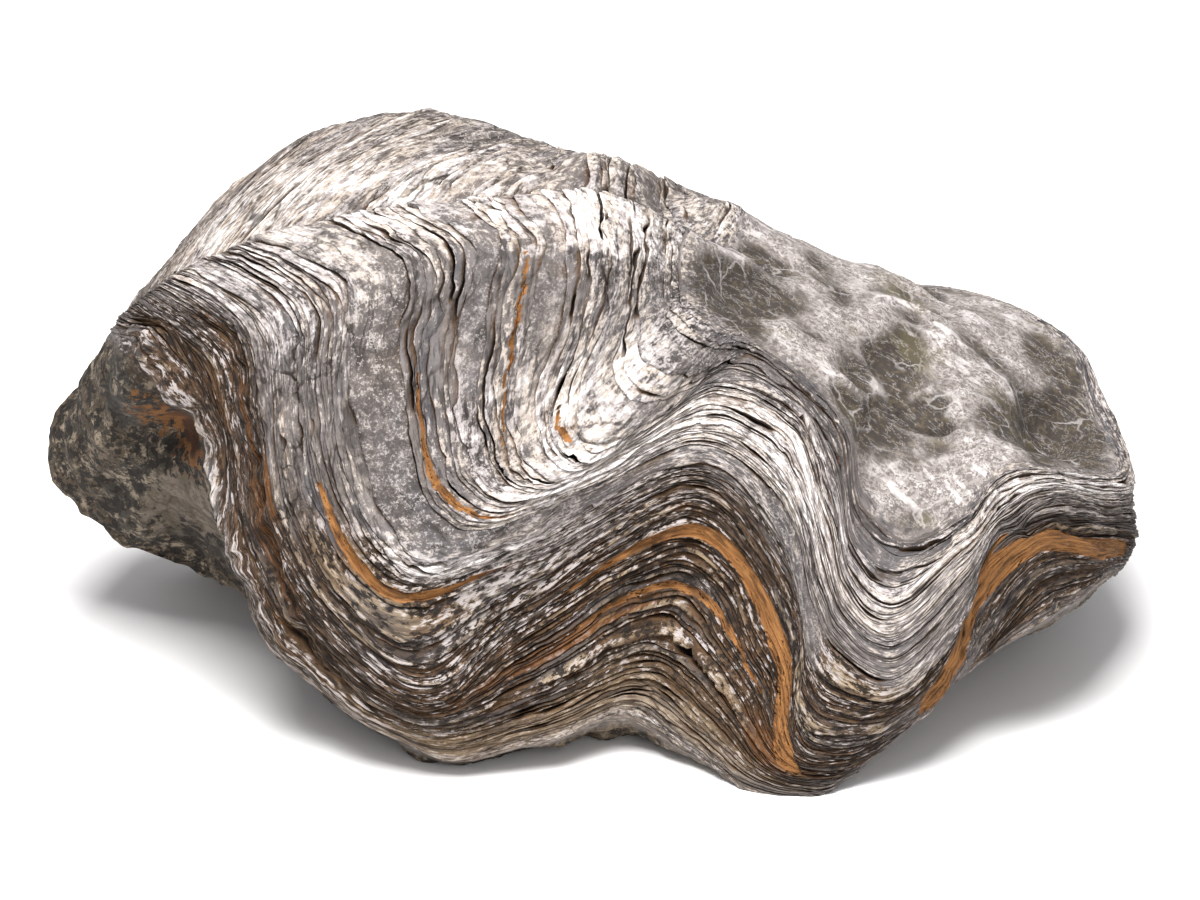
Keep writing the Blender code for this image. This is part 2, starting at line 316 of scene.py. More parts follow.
@dataclass
class FoldCage:
    """The smooth folds that the plates lie on."""

    lean: float = math.radians(25)
    cap_top: Triple = (56, 78.5, 80)
    base_middle: Triple = (-6.5, 29, 62)
    box_middle: Span = (-1.15, 59.75)
    columns: tuple[int, int] = (29, 14)
    cap_columns: tuple[int, int] = (28, 21)
    cap_share: float = 0.55
    cap_lift: float = 0.3
    rounding: float = 0.132
    reference_line: int = 3
    seam_fold: int = 19
    probe: float = 0.04
    around: Array = field(init=False)
    curves: Array = field(init=False)
    along: Array = field(init=False)

    def __post_init__(self) -> None:
        """Works out the growth curve under each column of points."""
        self.around = self.spread(*self.columns)
        evenly = self.spread(*self.cap_columns)
        lines, even_lines = self.lines(self.around), self.lines(evenly)
        ends = []
        for line, pole in ((0, self.cap_top), (-1, self.base_middle)):
            rings = self.closing(even_lines[:, line], pole)
            ends.append([self.resample(evenly, ring) for ring in rings])
        rings = ends[0] + [lines[:, k] for k in range(GROWTH_LINES)] + ends[1][::-1]
        self.curves = np.stack(rings, axis=1)
        ring = lines[:, self.reference_line]
        steps = np.linalg.norm(np.roll(ring, -1, 0) - ring, axis=1)
        self.along = np.concatenate([[0.0], np.cumsum(steps)[:-1]])
        self.along[self.around > self.seam_fold] -= steps.sum()

    def spread(self, front: int, back: int) -> Array:
        """Spreads columns over the folds, with their own number on front and back folds."""
        counts = [front] * (len(FOLDS) - BACK_FOLDS) + [back] * BACK_FOLDS
        return np.concatenate([k + np.arange(n) / n for k, n in enumerate(counts)])

    def lines(self, around: Array) -> Array:
        """Reads every growth line.

        Args:
            around: Place in folds of each column.

        Returns:
            Positions in millimetres, by column and growth line.
        """
        crossings = np.array([[self.upright(p) for p in points] for points in FOLDS.values()])
        place = np.floor(around).astype(int)
        knots = tuple(crossings[(place + step) % len(FOLDS)] for step in (-1, 0, 1, 2))
        return spline(knots, (around - place)[:, None, None])

    def resample(self, around: Array, ring: Array) -> Array:
        """Reads a ring at the cage's own columns."""
        axes = [np.interp(self.around, around, axis, period=len(FOLDS)) for axis in ring.T]
        return np.stack(axes, axis=-1)

    def upright(self, point: Triple) -> Triple:
        """Turns (across, up the sketch plane, depth) into upright (x, y, z)."""
        across, up, depth = point
        return across, depth, (up - depth * math.sin(self.lean)) / math.cos(self.lean)

    def closing(self, border: Array, pole: Triple) -> list[Array]:
        """Closes an end of the shell.

        Args:
            border: The growth line round the end.
            pole: The middle of the end, in the sketch plane.

        Returns:
            The knots beyond the pole, at it, and halfway to the border.
        """
        centre = np.array(self.upright(pole))
        spectrum = np.fft.fft(border, axis=0)
        turns = np.fft.fftfreq(len(border), 1.0 / len(border))[:, None]
        rounded = np.fft.ifft(spectrum * np.exp(-((self.rounding * turns) ** 2)), axis=0).real
        spokes = rounded - rounded.mean(0)
        axis = np.cross(spokes, np.roll(spokes, -1, 0)).sum(0)
        axis /= np.linalg.norm(axis)
        lift = np.outer(self.cap_lift * ((centre - rounded) @ axis), axis)
        ring = centre + self.cap_share * (rounded - centre) + lift
        beyond = 2 * centre - ring + np.outer(2 * (ring - centre) @ axis, axis)
        return [beyond, np.broadcast_to(centre, ring.shape), ring]

    def points(self, growth: Array) -> Array:
        """Places points on the folds.

        Args:
            growth: Place in growth lines for each row and column.

        Returns:
            Positions in millimetres, with x, y and z last.
        """
        place = growth + KNOTS_BEFORE_LINES
        cell = np.clip(np.floor(place).astype(int), 1, self.curves.shape[1] - 3)
        columns = np.arange(len(self.curves))[None, :]
        knots = tuple(self.curves[columns, cell + step] for step in (-1, 0, 1, 2))
        return spline(knots, (place - cell)[..., None])

    def seat(self, growth: Array) -> tuple[Array, Array, Array]:
        """Finds the folds and which way they face.

        Args:
            growth: Place in growth lines for each row and column.

        Returns:
            The points, their outward normals, and millimetres for one growth line.
        """
        here = self.points(growth)
        onward = self.points(growth + self.probe) - self.points(growth - self.probe)
        onward /= 2 * self.probe
        normal = np.cross(onward, np.roll(here, -1, 1) - np.roll(here, 1, 1))
        normal /= np.maximum(np.linalg.norm(normal, axis=-1, keepdims=True), TINY)
        return here, normal, np.linalg.norm(onward, axis=-1)


class PlateKind(Enum):
    """How thick a growth plate is, by its letter in the rhythm's words.

    Attributes:
        share: How much of the way between two growth lines it takes.
        ledge: How far its lip stands over the next plate, in millimetres.
        rows: How many rows of points cross its back.
    """

    THIN = ("t", 1.0, 0.75, 2)
    MEDIUM = ("m", 2.0, 1.15, 4)
    WIDE = ("w", 4.6, 1.5, 8)
    SLAB = ("s", 9.0, 1.8, 15)

    def __init__(self, letter: str, share: float, ledge: float, rows: int) -> None:
        """Keeps the kind's letter and sizes."""
        self.letter, self.share, self.ledge, self.rows = letter, share, ledge, rows


@dataclass(frozen=True)
class Row:
    """One row of points round the shell.

    Attributes:
        growth: Place in growth lines.
        across: Share of the way over its plate, 0 at the root and 1 at the lip.
        rise: Share of the ledge's height, negative inwards.
        pull: Millimetres that the row is drawn back under the lip before it.
        plate: The plate's number, or 0 where the rock is bare.
        width: The plate's width in growth lines.
        ledge: The plate's ledge height in millimetres.
        before: The width in growth lines of the plate before it.
    """

    growth: float
    across: float
    rise: float
    pull: float
    plate: int
    width: float
    ledge: float
    before: float = 0.0


@dataclass(frozen=True)
class Plate:
    """One growth plate, from its root under the plate above to its own overhanging lip."""

    start: float
    end: float
    kind: PlateKind
    number: int
    before: float = 0.0
    extra: float = 0.0
    lip: float = 0.4
    lip_round: float = 0.8
    crown: float = 0.1
    overhang: float = 0.5
    root_share: float = 0.7
    under: float = -0.75
    last_row: float = 0.93
    row_margins: Span = (0.35, 0.4)
    row_crowding: float = 1.25

    def row(self, across: float, rise: float, pull: float = 0.0) -> Row:
        """Lays one row on this plate.

        Args:
            across: How far up the plate, from its root at 0 to its lip at 1.
            rise: Share of the ledge that it stands up by.
            pull: Millimetres that it is drawn back under the lip before it.

        Returns:
            The row.
        """
        width = self.end - self.start
        height = self.kind.ledge + self.extra
        growth = self.start + across * width
        return Row(growth, across, rise, pull, self.number, width, height, self.before)

    def rows(self) -> list[Row]:
        """Lays the plate's rows, root first and the underside of its lip last.

        Returns:
            The rows.
        """
        laid = [self.row(0.0, 0.0, self.root_share * self.overhang)]
        inner = self.kind.rows + 1
        first, last = self.row_margins
        for k in range(inner):
            across = self.last_row * ((k + first) / (inner - last)) ** self.row_crowding
            rise = self.crown * math.sin(math.pi * across) + self.lip * across**3
            laid.append(self.row(across, rise))
        laid.append(self.row(1.0, self.lip_round * self.lip))
        laid.append(self.row(1.0, self.under, self.overhang))
        return laid


@dataclass(frozen=True)
class Rhythm:
    """The order of thin and thick plates between growth lines, one word a line."""

    words: tuple[str, ...] = (
        "mtwmtwtm",
        "ttmwtmmtwttmm",
        "tttsmttttm",
        "ttmstttwttttm",
        "ttmtttmttttmtttmttwtmt",
        "tttmtttmttmt",
    )
    line_extra: float = 0.75

    def plates(self) -> list[list[Plate]]:
        """Lays out every plate of the shell.

        Returns:
            The plates in order of growth, in one list for each growth line.
        """
        letters = {kind.letter: kind for kind in PlateKind}
        laid: list[list[Plate]] = []
        number, before = 1, 0.0
        for line, word in enumerate(self.words):
            kinds = [letters[letter] for letter in word]
            total = sum(kind.share for kind in kinds)
            start = float(line)
            laid.append([])
            for k, kind in enumerate(kinds):
                end = start + kind.share / total
                extra = self.line_extra if k == len(kinds) - 1 else 0.0
                laid[-1].append(Plate(start, end, kind, number, before, extra))
                number, before, start = number + 1, end - start, end
        return laid


@dataclass(frozen=True)
class Spot:
    """A rounded pit (height below 0) or knoll, placed on the sketch plane."""

    across: float
    up: float
    half_width: float
    half_height: float
    height: float

    def cover(self, across: Array, up: Array) -> Array:
        """How strongly the spot shows at each place."""
        reach = ((across - self.across) / self.half_width) ** 2
        return np.exp(-(reach + ((up - self.up) / self.half_height) ** 2))


@dataclass(frozen=True)
class Patch:
    """A stain or crust that lies along the plates: where it is and how strong."""

    around: float
    growth: float
    reach_around: float
    reach_growth: float
    strength: float

    def cover(self, around: Array, growth: Array) -> Array:
        """How strongly the patch covers each place.

        Args:
            around: Place in folds.
            growth: Place in growth lines.

        Returns:
            Its strength in the middle, falling to 0 around it.
        """
        away = np.abs(around - self.around)
        away = np.minimum(away, len(FOLDS) - away) / self.reach_around
        along = (growth - self.growth) / self.reach_growth
        return self.strength * np.exp(-(away**2) - along**2)


@dataclass(frozen=True)
class Trace:
    """A line drawn over the shell, as places in folds and growth lines."""

    path: tuple[Span, ...]

    def cover(self, around: Array, growth: Array, scale: Array) -> Array:
        """How strongly what is drawn along the line shows.

        Args:
            around: Place in folds.
            growth: Place in growth lines.
            scale: Millimetres for one growth line.

        Returns:
            1 along its middle, falling to 0 on both sides and at its ends.
        """
        folds, lines = zip(*self.path)
        return self.shown(folds, around, (growth - np.interp(around, folds, lines)) * scale)

    def shown(self, folds: tuple[float, ...], around: Array, away: Array) -> Array:
        """How strongly it shows this many millimetres away; each kind has its own."""
        raise NotImplementedError


@dataclass(frozen=True)
class Seam(Trace):
    """A clay-filled seam between two plates, with its widths in millimetres."""

    widths: tuple[float, ...]
    offset: float = 0.0
    edge: Span = (0.42, 0.58)
    thinnest: float = 0.01

    def shown(self, folds: tuple[float, ...], around: Array, away: Array) -> Array:
        """Fills the seam over its widths, with a soft edge and blunt ends.

        Args:
            folds: Where its points lie, in folds.
            around: Place in folds.
            away: Distance from the line in millimetres.

        Returns:
            The share of clay, from 0 to 1.
        """
        share = (around - folds[0]) / (folds[-1] - folds[0])
        width = np.interp(share, np.linspace(0.0, 1.0, len(self.widths)), self.widths)
        away = np.abs(away - self.offset) / np.maximum(width, self.thinnest)
        return ((share > 0.0) & (share < 1.0)) * (1.0 - blend(*self.edge, away))


@dataclass(frozen=True)
class Welt(Trace):
    """A ridge or a groove that runs across the growth lines."""

    height: float
    half_width: float
    flatness: float = 2.5

    def shown(self, folds: tuple[float, ...], around: Array, away: Array) -> Array:
        """Rounds the welt over, and fades it out between the last two folds of each end."""
        window = blend(folds[0], folds[1], around) * (1.0 - blend(folds[-2], folds[-1], around))
        return window * np.exp(-np.abs(away / self.half_width) ** self.flatness)


def patches(*rows: tuple[float, ...]) -> tuple[Patch, ...]:
    """Makes patches from rows of fold, growth line, reach round, reach along and strength."""
    return tuple(Patch(*row) for row in rows)


SPOTS = tuple(
    Spot(*row)
    for row in (
        (26.0, 85.0, 9.5, 7.0, -3.2), (46.5, 72.5, 5.5, 3.2, -1.8),
        (51.5, 65.0, 8.0, 5.5, -3.0), (78.5, 62.5, 8.5, 8.0, -3.6),
        (70.0, 46.0, 3.0, 2.2, -2.4), (-74.3, 58.5, 4.5, 6.0, -2.6),
        (0.0, 104.5, 7.0, 4.0, 2.2), (21.0, 97.5, 6.0, 4.0, 2.4), (-9.0, 107.5, 4.0, 3.0, -2.0),
        (12.0, 102.0, 3.5, 3.5, -3.4), (-75.0, 74.0, 4.5, 4.0, 2.6),
        (-78.0, 66.0, 4.0, 4.5, 1.8), (-31.5, 39.5, 5.0, 3.4, 1.6),
        (57.5, 62.3, 1.5, 1.2, -2.2), (77.0, 32.2, 0.9, 0.9, -1.6),
        (-54.5, 37.2, 0.9, 0.9, -1.4), (34.5, 90.5, 5.0, 3.5, 1.1), (63.0, 79.0, 7.0, 3.0, 1.2),
        (77.0, 63.5, 7.0, 5.0, -3.2), (-72.0, 59.0, 5.0, 3.6, -4.0),
        (-71.5, 50.0, 6.0, 4.0, -1.6), (-77.0, 68.5, 4.5, 3.5, 2.8),
        (-84.0, 60.0, 3.5, 4.0, 1.6), (-79.5, 47.0, 4.0, 3.0, 1.4),
    )
)

RIM_SPINE = Welt(
    ((0.6, 5.7), (1.1, 6.08), (2.2, 6.12), (2.6, 5.88), (3.0, 5.45), (3.6, 5.35), (5.2, 5.2)),
    height=2.6,
    half_width=1.35,
)
RIM_GROOVE = Welt(
    ((0.5, 4.1), (1.0, 4.15), (2.4, 4.3), (3.2, 4.45), (4.0, 4.85), (4.8, 5.0)),
    height=-2.4,
    half_width=1.9,
)
CLAY_GROOVE = Welt(
    ((13.4, 3.1), (13.9, 3.35), (14.3, 3.45), (14.7, 3.5), (15.1, 3.5), (15.4, 3.5)),
    height=-3.4,
    half_width=1.9,
)

SEAMS = (
    Seam(((2.9, 3.0), (5.9, 3.0)), (0.6, 1.7, 1.9, 2.0, 1.5, 0.3), 0.5),
    Seam(((2.2, 2.0), (5.3, 2.0)), (0.3, 0.9, 1.5, 1.5, 0.9, 0.3), 0.3),
    Seam(
        ((6.15, 4.0), (8.2, 4.0), (9.0, 4.3), (9.6, 4.6)),
        (0.4, 1.9, 2.7, 3.6, 3.8, 3.6, 3.2, 0.8),
        0.9,
    ),
    Seam(
        ((11.5, 3.7), (12.0, 3.6), (12.5, 3.75), (12.9, 3.85), (13.3, 3.95), (13.8, 4.1), (15.4, 4.2)),
        (3.0, 6.5, 10.5, 10.5, 8.5, 6.0, 5.6, 5.6, 5.0, 3.6),
    ),
    Seam(((1.0, 1.42), (3.3, 1.42)), (0.3, 0.6, 0.7, 0.5, 0.2)),
    Seam(((6.2, 4.47), (8.3, 4.47)), (0.3, 1.2, 1.5, 1.0, 0.3)),
    Seam(((3.1, 0.97), (4.4, 0.97)), (0.4, 1.3, 0.3)),
)

OPEN = patches(
    (7.2, 3.8, 2.4, 1.0, 0.8), (8.0, 4.6, 2.4, 0.7, 0.5), (3.6, 4.9, 3.0, 0.9, 0.8),
    (3.0, 3.1, 2.4, 0.35, 0.5), (2.2, 2.08, 1.6, 0.2, 0.45), (0.4, 3.4, 1.2, 0.9, 0.45),
    (10.0, 4.2, 1.8, 1.3, 0.6), (14.6, 2.2, 1.6, 1.6, 0.5), (14.2, 3.6, 1.3, 0.3, 1.2),
    (19.0, 3.0, 3.0, 3.0, 0.35),
)
CHALK = patches(
    (0.2, 1.6, 0.9, 1.7, 0.75), (1.6, 1.4, 0.6, 0.6, -0.3), (4.4, 3.35, 0.6, 0.4, -0.4),
    (0.8, 0.6, 0.6, 0.55, 1.1), (0.3, 3.7, 0.8, 1.0, 0.45), (3.6, 0.6, 1.6, 0.7, 1.1),
    (2.7, 1.6, 0.6, 0.3, 0.3), (5.4, 1.6, 1.4, 0.8, 0.8), (7.6, 1.6, 1.4, 0.9, 0.75),
    (9.0, 1.3, 0.9, 0.6, 0.4), (11.0, 1.0, 1.8, 0.7, 0.65), (14.0, 0.7, 1.7, 0.9, 1.0),
    (14.4, 2.3, 1.5, 0.8, 0.45), (22.3, 2.9, 1.1, 1.8, 0.95), (22.4, 0.2, 0.8, 0.4, 0.6),
    (17.5, 0.5, 2.2, 0.7, 0.55), (4.7, 2.72, 0.9, 0.22, 0.85), (2.4, 1.2, 1.2, 0.5, 0.1),
    (5.9, 3.2, 1.1, 0.6, 0.7), (1.3, 3.35, 0.5, 0.35, 0.6), (1.5, 2.5, 0.8, 0.3, 0.35),
    (9.0, 2.8, 0.9, 0.5, 0.35), (4.2, 5.75, 1.4, 0.25, 0.4), (5.0, 4.1, 1.2, 0.3, 0.4),
    (7.0, 5.85, 2.4, 0.12, 0.7), (2.65, 6.95, 0.5, 0.5, 1.3), (11.3, 2.2, 0.9, 0.3, 0.5),
    (19.0, 2.0, 2.2, 2.6, 0.4),
)
# Brown earth on the plates. The patch at fold 14.2, growth line 3.5 is painted shade as well as earth,
# in the deep hollow above the right clay seam.
UMBER = patches(
    (7.4, 3.8, 1.8, 0.9, 0.85), (7.0, 4.8, 2.2, 0.7, 0.9), (3.8, 4.9, 2.6, 1.0, 0.9),
    (4.4, 3.35, 1.1, 0.6, 1.2), (1.6, 5.2, 1.7, 0.85, 1.1), (0.9, 4.4, 0.6, 0.5, 0.5),
    (9.6, 4.0, 1.7, 1.3, 1.1), (14.2, 4.9, 2.0, 1.2, 0.9), (3.0, 7.2, 3.0, 1.0, 0.5),
    (1.6, 3.8, 1.0, 0.5, 0.4), (14.2, 3.5, 1.4, 0.3, 0.8), (6.6, 2.6, 1.0, 0.5, 0.35),
    (18.6, 4.6, 2.2, 1.4, 0.6), (10.1, 2.6, 0.7, 0.5, 0.9), (11.6, 2.9, 1.0, 0.35, 0.6),
    (1.15, 6.3, 0.4, 0.3, 1.0),
)
SAND = patches(
    (7.3, 5.55, 2.2, 0.45, 0.8), (5.2, 5.6, 1.2, 0.4, 0.4), (22.4, 3.6, 1.4, 2.0, 0.35),
)
RUST = patches(
    (1.78, 6.44, 0.46, 0.17, 1.0), (1.9, 4.35, 0.9, 0.16, 0.45), (1.5, 5.0, 1.2, 0.16, 0.5),
    (3.1, 4.6, 0.9, 0.22, 0.6), (2.6, 3.95, 0.35, 0.12, 0.7), (9.0, 4.75, 0.7, 0.4, 0.7),
    (6.2, 4.55, 1.2, 0.12, 0.55),
)
CALM = patches(
    (4.0, 0.25, 2.3, 0.4, 0.75), (22.6, 0.3, 1.6, 0.5, 0.5), (17.5, 0.4, 2.4, 0.7, 0.9),
    (11.0, 0.95, 1.3, 0.38, 0.5), (11.0, 2.0, 1.3, 0.6, 0.55),
)
CRACKED = patches(
    (2.5, 3.6, 0.9, 0.5, 0.8), (3.2, 2.4, 1.0, 0.4, 0.35), (1.7, 3.2, 0.7, 0.6, 0.7),
)


def covered(kind: tuple[Patch, ...], around: Array, growth: Array) -> Array:
    """Adds up patches of one kind, from 0 to 1."""
    return np.clip(sum(patch.cover(around, growth) for patch in kind), 0.0, 1.0)


@dataclass
class ShellZone:
    """A stretch of the shell's surface between two growth lines, as one open mesh."""

    name: str
    cage: FoldCage
    rows: list[Row]
    finish: "ShellFinish"
    closes_cap: bool = False
    closes_base: bool = False
    noise: RockNoise = field(default_factory=lambda: RockNoise(5))
    lump_noise: RockNoise = field(default_factory=lambda: RockNoise(53))
    plates_start: Span = (-0.6, 0.2)
    plates_stop: Span = (6.0, 7.0)
    lump_size: float = 12.5
    lump_height: float = 0.9
    wander: float = 0.085
    fine_size: float = 3.6
    fine_wander: float = 0.03
    chip: float = 0.6
    chip_length: float = 5.0
    chip_row: float = 0.5
    chip_weights: Span = (0.5, 0.9)
    most_chip: float = 3.0
    broken: Span = (-0.2, 0.6)
    pinch: float = 0.4
    most_pull: float = 0.45
    least_scale: float = 0.5
    ledge_mean: float = 0.85
    ledge_swing: float = 0.95
    ledge_range: Span = (0.12, 1.8)
    most_ledge: float = 0.8
    least_ledge: float = 0.15
    deepest: float = 3.0
    gape: Span = (0.12, 0.55)
    gaping: Span = (-0.1, 0.9)
    closed: float = 0.26
    always_open: float = 0.35
    slit: float = 2.6
    slits: Span = (0.25, 0.6)
    slab: float = 0.3
    slab_row: float = 7.5
    slab_width: float = 1.5
    block: float = 0.2
    block_length: float = 6.0
    block_step: float = 0.7
    blocks_a_line: float = 1.6
    crumb: float = 0.4
    crumb_size: float = 2.2
    clay_depth: float = 0.6
    clay_smoothing: float = 0.6
    clay_ragged: float = 0.03
    clay_grain: Triple = (9.0, 3.0, 1.0)
    clay_grain_size: float = 1.6
    open_roughness: float = 1.1
    knob_mean: float = 0.8
    knob: float = 1.3
    knob_size: float = 4.0
    ridge_sharpness: float = 2.2
    fine_ridge: float = 0.5
    cap_relief: float = 0.8
    cap_sunk: float = 0.25
    lobe_lump: float = 1.7
    lobe_knob: float = 1.6
    slab_calm: float = 0.8
    cap_rock: Span = (-0.45, 0.05)
    cap_grain: Span = (-0.5, 0.1)
    cap_dressed: Span = (-0.34, 0.08)
    lobe_rock: Span = (6.02, 6.5)
    lobe_dressed: Span = (6.04, 6.35)
    drawn_grain: float = 0.26
    drawn_layer: float = 9.0
    drawn_size: Triple = (3.2, 0.8, 3.0)
    grain_size: float = 2.4
    grain: Triple = (0.16, 0.5, 0.04)
    tone_middle: float = 0.5
    own_tone: tuple[float, ...] = (0.5, 0.0, 3.7, 11.0, 2.0)
    slow_tone: tuple[float, ...] = (0.45, 1.0, 0.6, 17.0, 12.0)
    shaded: Span = (-3.0, 1.0)
    broad: Span = (3.0, 7.0)
    deep_pit: float = 3.0
    facing: float = 3.0
    spine_chalk: float = 0.55
    spine_clean: float = 0.5

    def lay(self) -> tuple[Array, dict[str, Array]]:
        """Works out the surface.

        Returns:
            The points in millimetres, and the values painted on them by name.
        """
        growth, plate = self.columns("growth", "plate")
        shape = (len(self.rows), len(self.cage.along))
        along = np.broadcast_to(self.cage.along, shape)
        around = np.broadcast_to(self.cage.around, shape)
        flat = self.cage.points(growth + np.zeros(shape))
        fade = blend(*self.plates_start, growth) * (1.0 - blend(*self.plates_stop, growth))
        calm = 1.0 - covered(CALM, around, growth)
        placed, width = self.seated(flat, along, fade, calm)
        base, normal, scale = self.cage.seat(placed)

        opened = self.closed + covered(OPEN, around, placed)
        out = self.ledges(along, width, fade, opened) * calm
        clay = self.clay(around, placed, scale)
        chalk, umber, sand, rust, cracked = (
            covered(kind, around, placed) for kind in (CHALK, UMBER, SAND, RUST, CRACKED)
        )
        filling = self.crumb * self.noise.smooth(flat, self.crumb_size) - self.clay_depth
        lumps = self.lump_height * self.lump_noise.smooth(flat, self.lump_size)
        relief = self.bare_relief(flat, placed, chalk)
        pits = self.spots(base, normal)
        depth = (1.0 - clay) * out + clay * filling + lumps + relief + pits
        scaly = 1.0 + self.open_roughness * np.clip(opened - self.closed, 0.0, 1.0)
        rough = self.roughness(flat, along, placed) * scaly
        depth = depth + rough * (1.0 - self.clay_smoothing * clay)
        blocks = self.noise.blocks(along, np.floor(placed * self.blocks_a_line), self.block_length)
        depth = depth + self.block_step * cracked * blocks
        spine = RIM_SPINE.cover(around, placed, scale)
        groove = RIM_GROOVE.cover(around, placed, scale)
        groove = np.maximum(groove, CLAY_GROOVE.cover(around, placed, scale))
        knobs = self.knob_mean + self.knob * self.noise.fractal(flat, self.knob_size)
        depth = depth + (RIM_SPINE.height * spine + RIM_GROOVE.height * groove) * knobs
        points = base + normal * depth[..., None]
        points[..., 2] = np.maximum(points[..., 2], 0.0)
        return points, {
            "ledge": np.clip(out, *self.shaded) * (1.0 - clay),
            "tone": self.tone(along, plate),
            "chalk": np.maximum(chalk * (1.0 - groove), self.spine_chalk * spine),
            # The grooves are laid with umber as well: brown earth, and painted shade in them.
            "umber": np.maximum(umber * (1.0 - self.spine_clean * spine), groove),
            "sand": sand,
            "rust": rust * (1.0 - spine),
            "clay": clay,
            "cracked": cracked,
            "broad": blend(*self.broad, width) * (plate > 0),
            "calm": calm,
            "cap": 1.0 - blend(*self.cap_dressed, placed),
            "lobe": blend(*self.lobe_dressed, placed),
            "relief": relief,
            "hollow": np.clip(-pits / self.deep_pit, 0.0, 1.0),
            "grain_along": along,
            "grain_across": placed * GRAIN_LINES,
            "grain_plate": plate * PLATE_STEP,
        }

    def columns(self, *names: str) -> list[Array]:
        """Reads values of the rows, as one column for each name."""
        rows = [[getattr(row, name) for row in self.rows] for name in names]
        return [np.array(values, dtype=float)[:, None] for values in rows]

    def seated(self, flat: Array, along: Array, fade: Array, calm: Array) -> tuple[Array, Array]:
        """Sets the rows along the growth, with wander, chipped lips and pinches.

        Args:
            flat: The folds under the rows.
            along: Millimetres round the shell.
            fade: How strongly the plates show.
            calm: 0 where the plates are worn flat, and 1 where they are crisp.

        Returns:
            Place in growth lines, and the width in millimetres of each plate.
        """
        growth, across, plate, width, pull, before = self.columns(
            "growth", "across", "plate", "width", "pull", "before"
        )
        drift = self.noise.smooth(flat, self.lump_size) * self.wander
        drift = drift + self.noise.fractal(flat, self.fine_size) * self.fine_wander
        placed = growth + fade * drift
        _, _, scale = self.cage.seat(placed)
        width_mm = width * scale
        most = self.most_chip / scale
        width, before = np.minimum(width, most), np.minimum(before, most)
        chips = self.chips(along, plate) * across**2 * width
        chips = chips + self.chips(along, plate - 1.0) * (1.0 - across) ** 3 * before
        placed = placed - self.chip * chips * calm * (plate > 0)
        own, last = (Waver.PINCHES.read(self.noise, along, plate - k) for k in (0.0, 1.0))
        pinches = own * across * width + last * (1.0 - across) * before
        placed = placed + self.pinch * pinches * calm * (plate > 0)
        pull = np.minimum(pull, self.most_pull * width_mm)
        return placed - pull / np.maximum(scale, self.least_scale), width_mm

    def chips(self, along: Array, plate: Array) -> Array:
        """How much of each plate's lip has broken away, from 0 to 1.

        Args:
            along: Place along the plates in millimetres.
            plate: Number of the plate.

        Returns:
            The share, from 0 to 1.
        """
        blocky, rounded = self.chip_weights
        broken = blocky * self.noise.blocks(along, plate + self.chip_row, self.chip_length)
        broken = broken + rounded * Waver.CHIPS.read(self.noise, along, plate)
        where = blend(*self.broken, Waver.BROKEN_STRETCHES.read(self.noise, along, plate))
        return np.clip(broken, 0.0, 1.0) * where

    def ledges(self, along: Array, width: Array, fade: Array, opened: Array) -> Array:
        """Stands the plates over each other.

        Args:
            along: Millimetres round the shell.
            width: Each plate's width in millimetres.
            fade: How strongly the plates show.
            opened: How deep the gaps under the lips are, against the ledge's height.

        Returns:
            How far each place stands out in millimetres.
        """
        across, rise, ledge, plate = self.columns("across", "rise", "ledge", "plate")
        height, gape, slits, slabs = (
            waver.read(self.noise, along, plate)
            for waver in (Waver.LIP_HEIGHT, Waver.GAPE, Waver.SLITS, Waver.SLABS)
        )
        height = ledge * np.clip(self.ledge_mean + self.ledge_swing * height, *self.ledge_range)
        height = np.minimum(height, self.most_ledge * width + self.least_ledge)
        narrow, wide = self.gape
        gape = narrow + wide * blend(*self.gaping, gape)
        gap = self.always_open + opened
        depth = height * (opened + self.slit * blend(*self.slits, slits) * gap)
        groove = np.exp(-across * width / gape) * np.minimum(depth, self.deepest)
        blocks = self.noise.blocks(along, plate + self.slab_row, self.block_length)
        slab = self.slab * slabs + self.block * blocks
        under = np.where(rise < 0.0, rise * height * gap, rise * height)
        out = under - groove + slab * np.minimum(1.0, width / self.slab_width) * fade
        return out * (plate > 0)

    def bare_relief(self, flat: Array, growth: Array, smooth: Array) -> Array:
        """Works out the broad relief of the bare rock.

        Args:
            flat: The folds under the rows.
            growth: Place in growth lines.
            smooth: How far the rock is worn smooth.

        Returns:
            Millimetres: a net of low ridges on the cap, and lumps on the lobe.
        """
        coarse, fine = (
            1.0 - self.ridge_sharpness * np.abs(lump.read(self.noise, flat))
            for lump in (Lump.CAP_RIDGES, Lump.FINE_RIDGES)
        )
        cap = self.cap_relief * (coarse + self.fine_ridge * fine) - self.cap_sunk
        knobs = np.clip(Lump.LOBE_KNOBS.read(self.noise, flat), 0.0, 1.0)
        lobe = self.lobe_lump * Lump.LOBE_LUMPS.read(self.noise, flat) + self.lobe_knob * knobs
        bare = blend(*self.lobe_rock, growth) * (1.0 - self.slab_calm * smooth)
        return (1.0 - blend(*self.cap_rock, growth)) * cap + bare * lobe

    def clay(self, around: Array, growth: Array, scale: Array) -> Array:
        """How much of each place is clay, over all seams.

        Args:
            around: Place in folds.
            growth: Place in growth lines.
            scale: Millimetres for one growth line.

        Returns:
            The share, from 0 to 1.
        """
        place = stack(around, growth, 1.0) * self.clay_grain
        ragged = self.clay_ragged * self.noise.smooth(place, self.clay_grain_size)
        covers = [seam.cover(around, growth + ragged, scale) for seam in SEAMS]
        return np.clip(np.maximum.reduce(covers), 0.0, 1.0)

